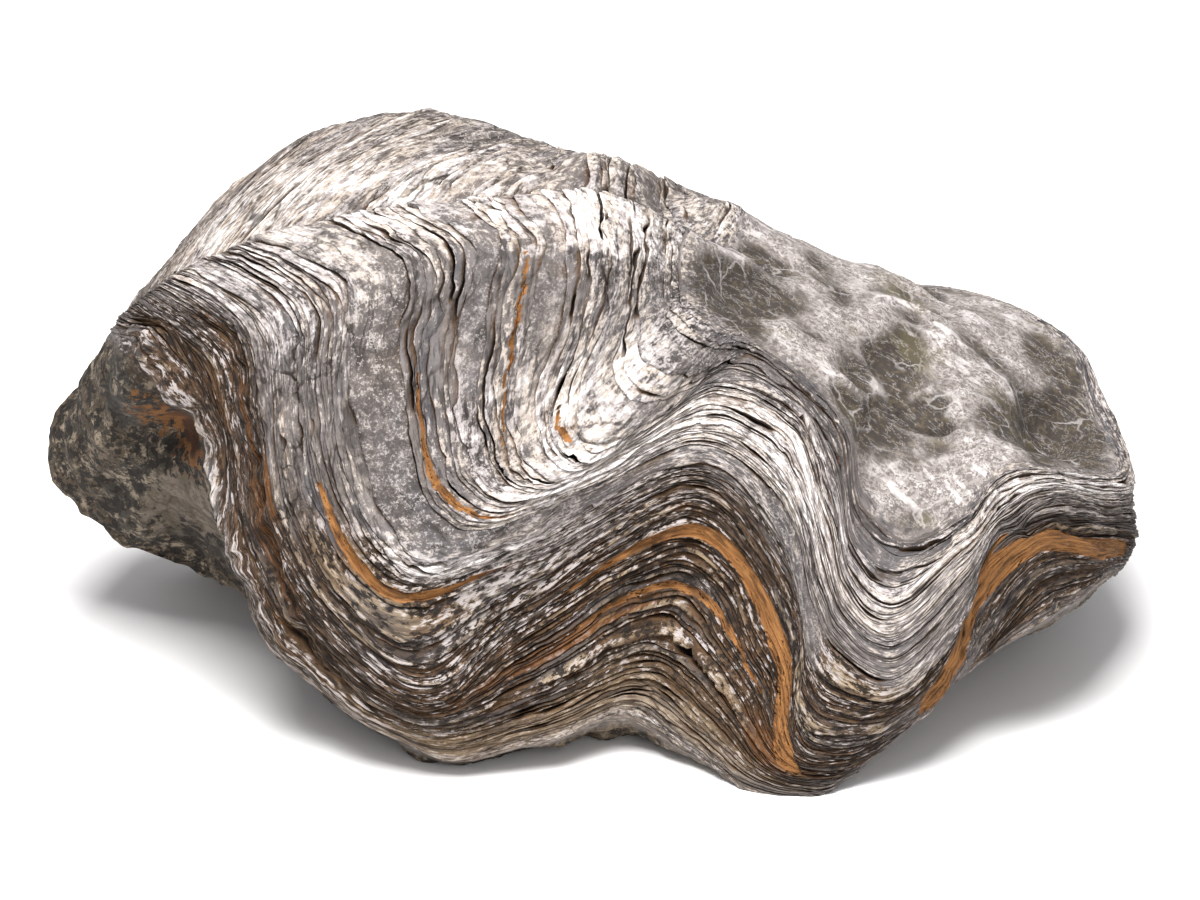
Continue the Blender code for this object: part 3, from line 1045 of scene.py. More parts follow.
    def roughness(self, flat: Array, along: Array, growth: Array) -> Array:
        """Works out the fine lumps.

        Args:
            flat: The folds under the rows.
            along: Millimetres round the shell.
            growth: Place in growth lines.

        Returns:
            Millimetres: drawn out along the plates, and grainy where the rock is bare.
        """
        drawn = stack(along, growth * GRAIN_LINES, self.drawn_layer)
        drawn = self.drawn_grain * self.noise.fractal(drawn, self.drawn_size)
        cap = 1.0 - blend(*self.cap_grain, growth)
        plates, lobe, smooth = self.grain
        grain = plates + lobe * blend(*self.lobe_rock, growth) + smooth * cap
        return drawn * (1.0 - cap) + grain * self.noise.fractal(flat, self.grain_size)

    def spots(self, points: Array, normal: Array) -> Array:
        """Adds up the pits and knolls, where the shell faces the sketch plane.

        Args:
            points: The places in millimetres.
            normal: Which way the shell faces there.

        Returns:
            How far each place rises, in millimetres.
        """
        ahead = np.array((0.0, -math.cos(self.cage.lean), math.sin(self.cage.lean)))
        facing = np.clip(self.facing * normal @ ahead, 0.0, 1.0)
        up = points[..., 1] * math.sin(self.cage.lean) + points[..., 2] * math.cos(self.cage.lean)
        total = np.zeros(facing.shape)
        for spot in SPOTS:
            total += spot.height * facing * spot.cover(points[..., 0], up)
        return total

    def tone(self, along: Array, plate: Array) -> Array:
        """How light each plate is, changing slowly along it and abruptly between plates.

        Args:
            along: Place along the plates in millimetres.
            plate: Number of the plate.

        Returns:
            The lightness, from 0 to 1.
        """
        light = self.tone_middle
        for strength, drawn, step, layer, size in (self.own_tone, self.slow_tone):
            place = stack(drawn * along, plate * PLATE_STEP * step, layer)
            light = light + strength * self.noise.smooth(place, size)
        return np.clip(light, 0.0, 1.0)

    def unwrap(self, rows: int, columns: int) -> Array:
        """Spreads the zone flat, so that each place has its own spot on a map.

        Args:
            rows: Number of rows of points.
            columns: Number of columns of points.

        Returns:
            The spot of every corner, in the order that mesh() makes them.
        """
        row, column = np.meshgrid(np.arange(rows - 1), np.arange(columns), indexing="ij")
        steps = ((0, 0), (1, 0), (1, 1), (0, 1))
        corners = [np.stack([column + dc, row + dr + 1], axis=-1) for dc, dr in steps]
        spread = [np.stack(corners, axis=2).reshape(-1, 2)]
        column = np.arange(columns)
        for closes, edge, end in ((self.closes_cap, 1, 0), (self.closes_base, rows, rows + 1)):
            if closes:
                sides = [(column + (end > edge), edge), (column + (end < edge), edge)]
                fan = [stack(*corner) for corner in [(column + HALF, end), *sides]]
                spread.append(np.stack(fan, axis=1).reshape(-1, 2))
        return np.concatenate(spread) / np.array((columns, rows + 1.0))

    def mesh(self, material: bpy.types.Material) -> bpy.types.Object:
        """Builds the zone and paints its values on it.

        Args:
            material: The finish of the whole zone.

        Returns:
            The new object, linked to the scene.
        """
        grid, paint = self.lay()
        rows, columns = grid.shape[:2]
        points = grid.reshape(-1, 3)
        index = np.arange(rows * columns).reshape(rows, columns)
        after = np.roll(index, -1, 1)
        quads = np.stack([index[:-1], index[1:], after[1:], after[:-1]], axis=-1)
        faces = quads.reshape(-1, 4).tolist()
        for closes, row in ((self.closes_cap, 0), (self.closes_base, -1)):
            if closes:
                pole = np.full(columns, len(points))
                points = np.vstack([points, points[index[row]].mean(0)])
                sides = [after[row], index[row]] if row else [index[row], after[row]]
                faces += np.stack([pole, *sides], axis=-1).tolist()
        mesh = bpy.data.meshes.new(self.name)
        middle = np.array((*self.cage.box_middle, 0.0))
        mesh.from_pydata((points - middle) * MM, [], faces, shade_flat=False)
        mesh.uv_layers.new(name=UV_NAME).data.foreach_set("uv", self.unwrap(rows, columns).ravel())
        poles = len(points) - rows * columns
        for name, values in paint.items():
            flat = np.broadcast_to(values, (rows, columns)).ravel()
            painted = mesh.attributes.new(name, "FLOAT", "POINT")
            painted.data.foreach_set("value", np.append(flat, np.full(poles, flat[-1])))
        mesh.validate()
        mesh.materials.append(material)
        piece = bpy.data.objects.new(self.name, mesh)
        bpy.context.scene.collection.objects.link(piece)
        return piece


Socket = bpy.types.NodeSocket
Colour = tuple[float, ...]
Feed = Socket | float | Colour
Plug = tuple[str, str, float]
Weights = tuple[tuple[str, float], ...]
Ramp = tuple[float, ...]

COLOUR_MIX_INPUTS = (0, 6, 7)
COLOUR_MIX_OUTPUT = 2
NOISE_MIDDLE = 0.5
FULL_CHANNEL = 255.0
SCREEN_FOOT = 0.04045
SCREEN_SLOPE = 12.92
SCREEN_LIFT = 0.055
SCREEN_POWER = 2.4


def tint(red: int, green: int, blue: int) -> Colour:
    """Turns a colour of 0 to 255 a channel, as seen on a screen, into scene colour.

    Args:
        red: Red, from 0 to 255.
        green: Green, from 0 to 255.
        blue: Blue, from 0 to 255.

    Returns:
        The colour, opaque.
    """

    def linear(share: float) -> float:
        """Takes the screen's curve out of one channel, from 0 to 1.

        Args:
            share: The channel, as seen on a screen.

        Returns:
            The channel in scene colour.
        """
        if share <= SCREEN_FOOT:
            return share / SCREEN_SLOPE
        return ((share + SCREEN_LIFT) / (1.0 + SCREEN_LIFT)) ** SCREEN_POWER

    return (*(linear(channel / FULL_CHANNEL) for channel in (red, green, blue)), 1.0)


@dataclass(frozen=True)
class Clouds:
    """Cloudy noise, and the range of it that is read.

    Attributes:
        size: Size of a cloud in millimetres.
        detail: How many finer layers it has.
        rough: How strong they are.
        low: The value that is read as 0.
        high: The value that is read as the most.
        most: The highest result.
    """

    size: float
    detail: float
    rough: float = 0.5
    low: float = 0.0
    high: float = 1.0
    most: float = 1.0


@dataclass
class Bench:
    """Lays nodes in one tree and links them."""

    tree: bpy.types.NodeTree

    def node(self, kind: str, **settings: object) -> bpy.types.Node:
        """Adds a node.

        Args:
            kind: The node's type.
            settings: Its own settings by name.

        Returns:
            The new node.
        """
        made = self.tree.nodes.new(kind)
        for name, value in settings.items():
            setattr(made, name, value)
        return made

    def feed(self, node: bpy.types.Node, **feeds: Feed) -> bpy.types.Node:
        """Links a node's inputs, or sets those whose value is a constant.

        Args:
            node: The node.
            feeds: What goes into it, by input name with spaces as underscores.

        Returns:
            The same node.
        """
        for name, value in feeds.items():
            self.plug(node.inputs[name.replace("_", " ")], value)
        return node

    def plug(self, socket: Socket, value: Feed) -> None:
        """Links one socket, or sets it where the value is a constant.

        Args:
            socket: The socket that takes it.
            value: Another socket, or a constant.
        """
        if isinstance(value, bpy.types.NodeSocket):
            self.tree.links.new(value, socket)
        else:
            socket.default_value = value

    def filled(self, node: bpy.types.Node, *values: Feed) -> bpy.types.Node:
        """Plugs values into a node's first inputs, in their order.

        Args:
            node: The node.
            values: A value for each input.

        Returns:
            The node.
        """
        for socket, value in zip(node.inputs, values):
            self.plug(socket, value)
        return node

    def math(self, operation: str, *values: Feed, clamp: bool = False) -> Socket:
        """Works out one number from others."""
        made = self.node("ShaderNodeMath", operation=operation, use_clamp=clamp)
        return self.filled(made, *values).outputs[0]

    def times(self, value: Feed, by: Feed, clamp: bool = False) -> Socket:
        """Multiplies two numbers."""
        return self.math("MULTIPLY", value, by, clamp=clamp)

    def less(self, value: Feed, by: Feed) -> Socket:
        """Takes one number from another."""
        return self.math("SUBTRACT", value, by)

    def weigh(self, *parts: tuple[Feed, Feed], start: Feed | None = None) -> Socket:
        """Adds up values, each times its weight.

        Args:
            parts: The values with their weights.
            start: What they are added to.

        Returns:
            The total.
        """
        for value, weight in parts:
            if start is None:
                start = self.times(value, weight)
            else:
                start = self.math("MULTIPLY_ADD", value, weight, start)
        return start

    def ramp(self, value: Feed, low: float, high: float, to: float = 1.0) -> Socket:
        """Rises smoothly from 0 at low to the given value at high."""
        made = self.node("ShaderNodeMapRange", interpolation_type="SMOOTHSTEP")
        return self.feed(made, Value=value, From_Min=low, From_Max=high, To_Max=to).outputs[0]

    def mix(self, share: Feed, under: Feed, over: Feed, blend_type: str = "MIX") -> Socket:
        """Lays one colour over another.

        Args:
            share: How much of the upper colour shows.
            under: The lower colour.
            over: The upper colour.
            blend_type: How they mix.

        Returns:
            The mixed colour.
        """
        made = self.node("ShaderNodeMix", data_type="RGBA", blend_type=blend_type)
        for index, value in zip(COLOUR_MIX_INPUTS, (share, under, over)):
            self.plug(made.inputs[index], value)
        return made.outputs[COLOUR_MIX_OUTPUT]

    def coats(self, colour: Feed, *coats: tuple[Feed, Feed]) -> Feed:
        """Lays colours over a colour, one after another, each with its share.

        Args:
            colour: The first colour.
            coats: Each share and its colour.

        Returns:
            The last colour.
        """
        for share, over in coats:
            colour = self.mix(share, colour, over)
        return colour

    def joined(self, *parts: Feed) -> Socket:
        """Makes a place from three numbers."""
        return self.filled(self.node("ShaderNodeCombineXYZ"), *parts).outputs[0]

    def noise(self, place: Socket, clouds: Clouds) -> Socket:
        """Lays cloudy noise over places in millimetres."""
        made = self.feed(self.node("ShaderNodeTexNoise"), Vector=place, Scale=1.0 / clouds.size)
        return self.feed(made, Detail=clouds.detail, Roughness=clouds.rough).outputs["Fac"]

    def spread(self, value: Feed, clouds: Clouds) -> Socket:
        """Reads a value over the range of the given clouds."""
        return self.ramp(value, clouds.low, clouds.high, clouds.most)

    def clouds(self, place: Socket, clouds: Clouds) -> Socket:
        """Lays cloudy noise and reads it over its range."""
        return self.spread(self.noise(place, clouds), clouds)

    def cells(self, place: Socket, size: float, feature: str = "DISTANCE_TO_EDGE") -> Socket:
        """Distances in a net of cells of the given size in millimetres."""
        made = self.node("ShaderNodeTexVoronoi", feature=feature)
        return self.feed(made, Vector=place, Scale=1.0 / size).outputs["Distance"]

    def painted(self, name: str) -> Socket:
        """Reads a value painted on the mesh."""
        return self.node("ShaderNodeAttribute", attribute_name=name).outputs["Fac"]

    def place(self) -> Socket:
        """The place on the object in millimetres.

        Returns:
            The place.
        """
        made = self.node("ShaderNodeVectorMath", operation="SCALE")
        self.plug(made.inputs[0], self.node("ShaderNodeTexCoord").outputs["Object"])
        return self.feed(made, Scale=1.0 / MM).outputs[0]

    def use(self, effect: "Effect", **feeds: Feed) -> dict[str, Socket]:
        """Places a shared effect.

        Args:
            effect: The effect.
            feeds: What goes into it, by input name.

        Returns:
            Its outputs by name.
        """
        made = self.feed(self.node("ShaderNodeGroup", node_tree=effect.tree()), **feeds)
        return {socket.name: socket for socket in made.outputs}


FLOAT, VECTOR, COLOUR = "NodeSocketFloat", "NodeSocketVector", "NodeSocketColor"


def numbers(*names: str, value: float = 0.0) -> tuple[Plug, ...]:
    """Describes sockets that carry numbers and share a default."""
    return tuple((name, FLOAT, value) for name in names)


@dataclass(frozen=True)
class Effect:
    """A shader node group that is built once and shared by the finishes."""

    name: str = ""
    takes: tuple[Plug, ...] = ()
    gives: tuple[Plug, ...] = ()

    def tree(self) -> bpy.types.NodeTree:
        """The effect's node group, built when it is first asked for.

        Returns:
            The node group.
        """
        known = bpy.data.node_groups.get(self.name)
        if known:
            return known
        made = bpy.data.node_groups.new(self.name, "ShaderNodeTree")
        for in_out, plugs in (("INPUT", self.takes), ("OUTPUT", self.gives)):
            for name, kind, value in plugs:
                socket = made.interface.new_socket(name, in_out=in_out, socket_type=kind)
                if kind == FLOAT:
                    socket.default_value = value
        bench = Bench(made)
        taken, given = bench.node("NodeGroupInput"), bench.node("NodeGroupOutput")
        named = {socket.name: socket for socket in taken.outputs if socket.name}
        bench.feed(given, **self.lay(bench, named))
        return made

    def lay(self, bench: Bench, taken: dict[str, Socket]) -> dict[str, Feed]:
        """Lays the effect's nodes; each effect has its own."""
        raise NotImplementedError


GRAIN_WAYS = (*numbers("Along", "Across"), ("Place", VECTOR, 0.0))


@dataclass(frozen=True)
class Lamination(Effect):
    """Fine growth lines that run along the plates."""

    name: str = "growth_lamination"
    takes: tuple[Plug, ...] = numbers("Along", "Across", "Plate")
    gives: tuple[Plug, ...] = numbers("Lines", "Hairlines", "Bands", "Scales", "Relief")
    long: float = 0.1
    slow: float = 0.45
    quick: float = 4.0
    plate_step: float = 0.37
    lines: Clouds = Clouds(0.42, 3.0, 0.62, 0.3, 0.7)
    hair: Clouds = Clouds(0.16, 2.0, 0.6, 0.28, 0.72)
    bands: Clouds = Clouds(1.5, 3.0, 0.6, 0.32, 0.68)
    scales: Clouds = Clouds(0.85, 4.0, 0.68, 0.38, 0.62)
    heights: Triple = (0.2, 0.45, 0.5)

    def lay(self, bench: Bench, taken: dict[str, Socket]) -> dict[str, Feed]:
        """Lays three sizes of line, from bands to hairlines, and short scales.

        Args:
            bench: Where the nodes go.
            taken: The inputs by name.

        Returns:
            The outputs by name.
        """
        plate = bench.times(taken["Plate"], self.plate_step)
        streak, band, scale = (
            bench.joined(bench.times(taken["Along"], stretch), taken["Across"], plate)
            for stretch in (self.long, self.long * self.slow, self.long * self.quick)
        )
        kinds = {
            "Hairlines": (streak, self.hair),
            "Lines": (streak, self.lines),
            "Scales": (scale, self.scales),
            "Bands": (band, self.bands),
        }
        raw = {name: bench.noise(place, kind) for name, (place, kind) in kinds.items()}
        given = {name: bench.spread(raw[name], kind) for name, (_, kind) in kinds.items()}
        return {**given, "Relief": bench.weigh(*zip(raw.values(), self.heights))}


@dataclass(frozen=True)
class StoneGrain(Effect):
    """Mottling, specks and pores of weathered stone."""

    name: str = "stone_grain"
    takes: tuple[Plug, ...] = (("Place", VECTOR, 0.0),)
    gives: tuple[Plug, ...] = numbers("Clouds", "Mottle", "Specks", "Pores", "Relief")
    broad: Clouds = Clouds(9.0, 3.0, 0.55, 0.32, 0.68)
    mottle: Clouds = Clouds(1.9, 4.0, 0.65, 0.34, 0.66)
    specks: Clouds = Clouds(0.45, 2.0, 0.7, 0.4, 0.72)
    pore_size: float = 1.1
    pores: Ramp = (0.3, 0.1)
    heights: Span = (0.7, 0.3)

    def lay(self, bench: Bench, taken: dict[str, Socket]) -> dict[str, Feed]:
        """Lays clouds, mottle, specks and pores, from large to small.

        Args:
            bench: Where the nodes go.
            taken: The inputs by name.

        Returns:
            The outputs by name.
        """
        place = taken["Place"]
        mottle, specks = (bench.noise(place, kind) for kind in (self.mottle, self.specks))
        rough, fine = self.heights
        return {
            "Clouds": bench.clouds(place, self.broad),
            "Mottle": bench.spread(mottle, self.mottle),
            "Specks": bench.spread(specks, self.specks),
            "Pores": bench.ramp(bench.cells(place, self.pore_size, "F1"), *self.pores),
            "Relief": bench.math("ADD", bench.times(mottle, rough), bench.times(specks, fine)),
        }


@dataclass(frozen=True)
class CrackNet(Effect):
    """Hairline cracks: long ones between growth lines and short ones across them."""

    name: str = "crack_net"
    takes: tuple[Plug, ...] = GRAIN_WAYS
    gives: tuple[Plug, ...] = numbers("Seams", "Breaks")
    sway: Clouds = Clouds(6.0, 3.0)
    sway_reach: float = 2.6
    where: Clouds = Clouds(8.0, 2.0, 0.5, 0.45, 0.62)
    seam_stretch: float = 0.12
    seam_size: float = 1.5
    seams: Ramp = (0.075, 0.02)
    warp: float = 0.35
    warp_reach: Triple = (3.0, 3.0, 3.0)
    break_size: float = 7.0
    breaks: Ramp = (0.045, 0.008)

    def lay(self, bench: Bench, taken: dict[str, Socket]) -> dict[str, Feed]:
        """Lays the long cracks on the stretched grain and the short ones on the stone.

        Args:
            bench: Where the nodes go.
            taken: The inputs by name.

        Returns:
            The outputs by name.
        """
        place = taken["Place"]
        sway = bench.times(bench.noise(place, self.sway), self.sway_reach)
        across = bench.math("ADD", taken["Across"], sway)
        long = bench.joined(bench.times(taken["Along"], self.seam_stretch), across, 0.0)
        warp = bench.feed(bench.node("ShaderNodeTexNoise"), Vector=place, Scale=self.warp)
        shift = bench.node("ShaderNodeVectorMath", operation="MULTIPLY_ADD")
        bench.filled(shift, warp.outputs["Color"], self.warp_reach, place)
        seams = bench.ramp(bench.cells(long, self.seam_size), *self.seams)
        breaks = bench.ramp(bench.cells(shift.outputs[0], self.break_size), *self.breaks)
        where = bench.clouds(place, self.where)
        return {"Seams": bench.times(seams, where), "Breaks": bench.times(breaks, where)}


@dataclass(frozen=True)
class ClaySkin(Effect):
    """Ochre clay bonded in the seams: streaked, crumbly, dark where it is damp."""

    name: str = "clay_skin"
    takes: tuple[Plug, ...] = GRAIN_WAYS
    gives: tuple[Plug, ...] = (("Colour", COLOUR, 0.0), *numbers("Relief"))
    bright: Colour = tint(163, 114, 66)
    deep: Colour = tint(126, 84, 46)
    stain: Colour = tint(66, 43, 26)
    streaks: Clouds = Clouds(0.6, 3.0, 0.6, 0.3, 0.7)
    streak_stretch: float = 0.1
    blotches: Clouds = Clouds(1.3, 4.0, 0.6, 0.34, 0.68)
    blotch_stretch: float = 0.25
    blotch_layer: float = 7.0
    damp: Ramp = (0.4, 0.0)
    dampness: float = 0.65
    crumbs: Clouds = Clouds(0.5, 3.0, 0.7)

    def lay(self, bench: Bench, taken: dict[str, Socket]) -> dict[str, Feed]:
        """Lays streaks along the seam, blotches and crumbs.

        Args:
            bench: Where the nodes go.
            taken: The inputs by name.

        Returns:
            The outputs by name.
        """
        streak = bench.joined(bench.times(taken["Along"], self.streak_stretch), taken["Across"], 0.0)
        wide = bench.times(taken["Along"], self.blotch_stretch)
        wide = bench.joined(wide, taken["Across"], self.blotch_layer)
        colour = bench.mix(bench.clouds(streak, self.streaks), self.deep, self.bright)
        damp = bench.ramp(bench.clouds(wide, self.blotches), *self.damp)
        return {
            "Colour": bench.mix(bench.times(damp, self.dampness), colour, self.stain),
            "Relief": bench.noise(taken["Place"], self.crumbs),
        }


LAMINATION, STONE_GRAIN, CRACK_NET, CLAY_SKIN = Lamination(), StoneGrain(), CrackNet(), ClaySkin()


@dataclass(frozen=True)
class LayeredStone(Effect):
    """The colour of laminated stone: grey plates, chalk crust, brown earth, sandy edges and painted
    shade under the lips.
    """

    name: str = "layered_stone"
    takes: tuple[Plug, ...] = (
        *numbers("Lines", "Hairlines", "Bands", "Scales", "Clouds", "Mottle", "Tone", value=0.5),
        *numbers("Specks", "Pores", "Ledge", "Chalk", "Umber", "Sand", "Broad"),
    )
    gives: tuple[Plug, ...] = (("Colour", COLOUR, 0.0),)
    slate: Colour = tint(72, 67, 66)
    grey: Colour = tint(120, 112, 108)
    blue_grey: Colour = tint(105, 103, 106)
    pale: Colour = tint(164, 153, 145)
    chalk: Colour = tint(239, 234, 231)
    cream: Colour = tint(199, 186, 174)
    dusty_chalk: Colour = tint(186, 177, 174)
    umber: Colour = tint(95, 69, 44)
    dark_umber: Colour = tint(42, 31, 23)
    sand: Colour = tint(172, 151, 123)
    # Near-black painted shade, for the gaps under the lips and small pits in the earth.
    shade_black: Colour = tint(22, 16, 12)
    lips: Ramp = (0.05, 0.4)
    light: Weights = (("Tone", 0.5), ("Bands", 0.25), ("Mottle", 0.2), ("Scales", 0.12))
    greys: Ramp = (0.15, 0.6)
    pales: Ramp = (0.6, 0.95)
    blues: Ramp = (0.5, 0.1, 0.4)
    dark_lines: Ramp = (0.45, 0.0)
    line_depth: Span = (-0.4, 0.6)
    # The Lips weight whitens the lips of the plates, as wear and as painted highlight.
    crust: Weights = (
        ("Chalk", 0.52), ("Broad", -0.14), ("Lips", 0.14), ("Lines", 0.26), ("Hairlines", 0.14),
        ("Scales", 0.26), ("Mottle", 0.16), ("Specks", 0.16), ("Clouds", 0.1),
    )
    creams: Ramp = (0.25, 0.75)
    dusty: Ramp = (0.68, 0.9, 0.88)
    chalky: Ramp = (0.97, 1.1)
    cold: Ramp = (0.5, 0.8)
    coldness: float = 0.75
    worn_lips: Ramp = (0.1, 0.6, 0.9)
    hollow_shade: Ramp = (0.4, 0.05, 0.9)
    flour: Weights = (
        ("Bands", 0.4), ("Scales", 0.55), ("Hairlines", 0.3), ("Mottle", 0.25), ("Chalk", 0.35)
    )
    floury: Ramp = (0.95, 1.2, 0.92)
    earth_floor: float = -0.2
    earth: Weights = (("Umber", 0.9), ("Bands", 0.25), ("Clouds", 0.2))
    earthen: Ramp = (0.2, 0.65, 0.96)
    dark_bands: Ramp = (0.45, 0.05, 0.85)
    sandiness: float = 0.75
    fleck_depth: float = 0.8
    # Painted shade under the lips: umber in the recesses, partly as earth, and near-black in the
    # deepest gaps.
    shaded: Ramp = (-0.04, -0.45, 0.8)
    gaps: Ramp = (-0.4, -1.3, 0.95)

    def lay(self, bench: Bench, taken: dict[str, Socket]) -> dict[str, Feed]:
        """Lays grey stone, then its crust, its brown earth, its sand, and painted shade in the
        recesses and gaps under its lips.

        Args:
            bench: Where the nodes go.
            taken: The inputs by name.

        Returns:
            The outputs by name.
        """
        taken = {**taken, "Lips": bench.ramp(taken["Ledge"], *self.lips)}
        colour = self.crusted(bench, taken, self.stone(bench, taken))
        colour = self.earthy(bench, taken, colour)
        flecks = bench.times(taken["Specks"], bench.times(taken["Pores"], self.fleck_depth))
        colour = bench.coats(
            colour,
            (flecks, self.slate),
            # painted shade: umber in the recesses under the lips, near-black in the gaps
            (bench.ramp(taken["Ledge"], *self.shaded), self.umber),
            (bench.ramp(taken["Ledge"], *self.gaps), self.shade_black),
        )
        return {"Colour": colour}

    def total(
        self, bench: Bench, taken: dict[str, Socket], parts: Weights, start: Feed | None = None
    ) -> Socket:
        """Adds up the named inputs, each times its weight."""
        return bench.weigh(*((taken[name], weight) for name, weight in parts), start=start)

    def stone(self, bench: Bench, taken: dict[str, Socket]) -> Socket:
        """Grey plates, each with its own tone.

        Args:
            bench: Where the nodes go.
            taken: The inputs by name.

        Returns:
            The colour.
        """
        light = self.total(bench, taken, self.light)
        colour = bench.coats(
            self.slate,
            (bench.ramp(light, *self.greys), self.grey),
            (bench.ramp(light, *self.pales), self.pale),
            (bench.ramp(taken["Clouds"], *self.blues), self.blue_grey),
        )
        hair = bench.math("MULTIPLY_ADD", taken["Broad"], *self.line_depth)
        hair = bench.times(bench.ramp(taken["Lines"], *self.dark_lines), hair)
        return bench.mix(hair, colour, self.slate, "MULTIPLY")

    def crusted(self, bench: Bench, taken: dict[str, Socket], colour: Socket) -> Socket:
        """Chalk crust in worn streaks, thickest on the lips as wear and as painted highlight, cream in
        places.

        Args:
            bench: Where the nodes go.
            taken: The inputs by name.
            colour: The colour underneath.

        Returns:
            The colour.
        """
        crust = self.total(bench, taken, self.crust)
        dusty = bench.mix(bench.ramp(taken["Bands"], *self.creams), self.dusty_chalk, self.cream)
        return bench.coats(
            colour,
            (bench.ramp(crust, *self.dusty), dusty),
            (bench.ramp(crust, *self.chalky), self.chalk),
        )

    def earthy(self, bench: Bench, taken: dict[str, Socket], colour: Socket) -> Socket:
        """Brown earth with near-black spots of painted shade as in small pits, floury flakes, and
        sand-coloured plates.

        Args:
            bench: Where the nodes go.
            taken: The inputs by name.
            colour: The colour underneath.

        Returns:
            The colour.
        """
        lips = bench.times(taken["Lips"], taken["Bands"])
        flour = self.total(bench, taken, self.flour)
        brown = bench.coats(
            self.dark_umber,
            (taken["Lines"], self.umber),
            (bench.times(bench.ramp(taken["Tone"], *self.cold), self.coldness), self.slate),
            # sand-coloured lips, as wear and as painted highlight
            (bench.times(lips, bench.ramp(taken["Scales"], *self.worn_lips)), self.sand),
            # near-black spots: painted shade, as in small pits
            (bench.ramp(taken["Scales"], *self.hollow_shade), self.shade_black),
            (bench.ramp(flour, *self.floury), self.dusty_chalk),
        )
        earth = self.total(bench, taken, self.earth, self.earth_floor)
        sandy = bench.mix(taken["Lines"], self.umber, self.sand)
        dark = bench.ramp(taken["Bands"], *self.dark_bands)
        return bench.coats(
            colour,
            (bench.ramp(earth, *self.earthen), brown),
            (bench.times(taken["Sand"], self.sandiness), bench.mix(dark, sandy, self.dark_umber)),
        )


LAYERED_STONE = LayeredStone()


@dataclass(frozen=True)
class Grounds:
    """What every finish starts from: the painted values and the shared effects."""

    bench: Bench
    ways: dict[str, Socket]
    lines: dict[str, Socket]
    stone: dict[str, Socket]
    drawn: dict[str, Socket]
    layered: Socket
    mask_edge: Ramp = (0.3, 0.6)
    mask_foot: Ramp = (0.02, 0.12)

    @classmethod
    def laid(cls, bench: Bench, stretch: Triple = (0.6, 1.4, 0.6)) -> "Grounds":
        """Lays the shared effects in one material.

        Args:
            bench: Where the nodes go.
            stretch: Scale of the drawn grain along and across the plates and from plate to plate.

        Returns:
            Their outputs.
        """
        along, across, plate = (bench.painted(f"grain_{way}") for way in ("along", "across", "plate"))
        ways = {"Along": along, "Across": across, "Place": bench.place()}
        lines = bench.use(LAMINATION, Along=along, Across=across, Plate=plate)
        stone = bench.use(STONE_GRAIN, Place=ways["Place"])
        parts = (bench.times(way, scale) for way, scale in zip((along, across, plate), stretch))
        drawn = bench.use(STONE_GRAIN, Place=bench.joined(*parts))
        names = ("tone", "ledge", "chalk", "umber", "sand", "broad")
        known = {**drawn, **lines, **{name.title(): bench.painted(name) for name in names}}
        fed = {name: known[name] for name, _, _ in LAYERED_STONE.takes}
        layered = bench.use(LAYERED_STONE, **fed)
        return cls(bench, ways, lines, stone, drawn, layered["Colour"])

    def worn(self, mask: str, grain: Feed, ragged: float) -> Socket:
        """Reads a painted mask and breaks up its edge with grain.

        Args:
            mask: The painted value's name.
            grain: The grain, around 0.5.
            ragged: How far the grain moves the edge.

        Returns:
            The mask, from 0 to 1.
        """
        bench, painted = self.bench, self.bench.painted(mask)
        lifted = bench.weigh((bench.less(grain, NOISE_MIDDLE), ragged), start=painted)
        return bench.times(bench.ramp(lifted, *self.mask_edge), bench.ramp(painted, *self.mask_foot))


@dataclass(frozen=True)
class ShellFinish:
    """A finish of petrified shell."""

    name: str = "layered_plates"
    dark: Colour = tint(34, 27, 23)
    relief: float = 0.55
    lined: float = 1.0
    grainy: float = 0.9
    rough: float = 0.78
    rough_swing: float = 0.17
    bending: float = 1.45
    gloss: float = 0.35

    def build(self) -> bpy.types.Material:
        """Builds the finish.

        Returns:
            The material.
        """
        material = bpy.data.materials.new(self.name)
        material.use_nodes = True
        bench = Bench(material.node_tree)
        grounds = Grounds.laid(bench)
        grain = self.grain(grounds)
        height = bench.weigh((grounds.lines["Relief"], self.lined), (grain["Relief"], self.grainy))
        bumped = bench.feed(bench.node("ShaderNodeBump"), Distance=self.relief * MM, Height=height)
        bench.feed(
            material.node_tree.nodes["Principled BSDF"],
            Base_Color=self.colour(grounds),
            Roughness=bench.weigh((grain["Mottle"], self.rough_swing), start=self.rough),
            IOR=self.bending,
            Specular_IOR_Level=self.gloss,
            Normal=bumped.outputs["Normal"],
        )
        return material

    def colour(self, grounds: Grounds) -> Socket:
        """Colours the finish; each has its own."""
        raise NotImplementedError

    def grain(self, grounds: Grounds) -> dict[str, Socket]:
        """The grain that roughens the finish: that of the bare stone, unless it says otherwise."""
        return grounds.stone


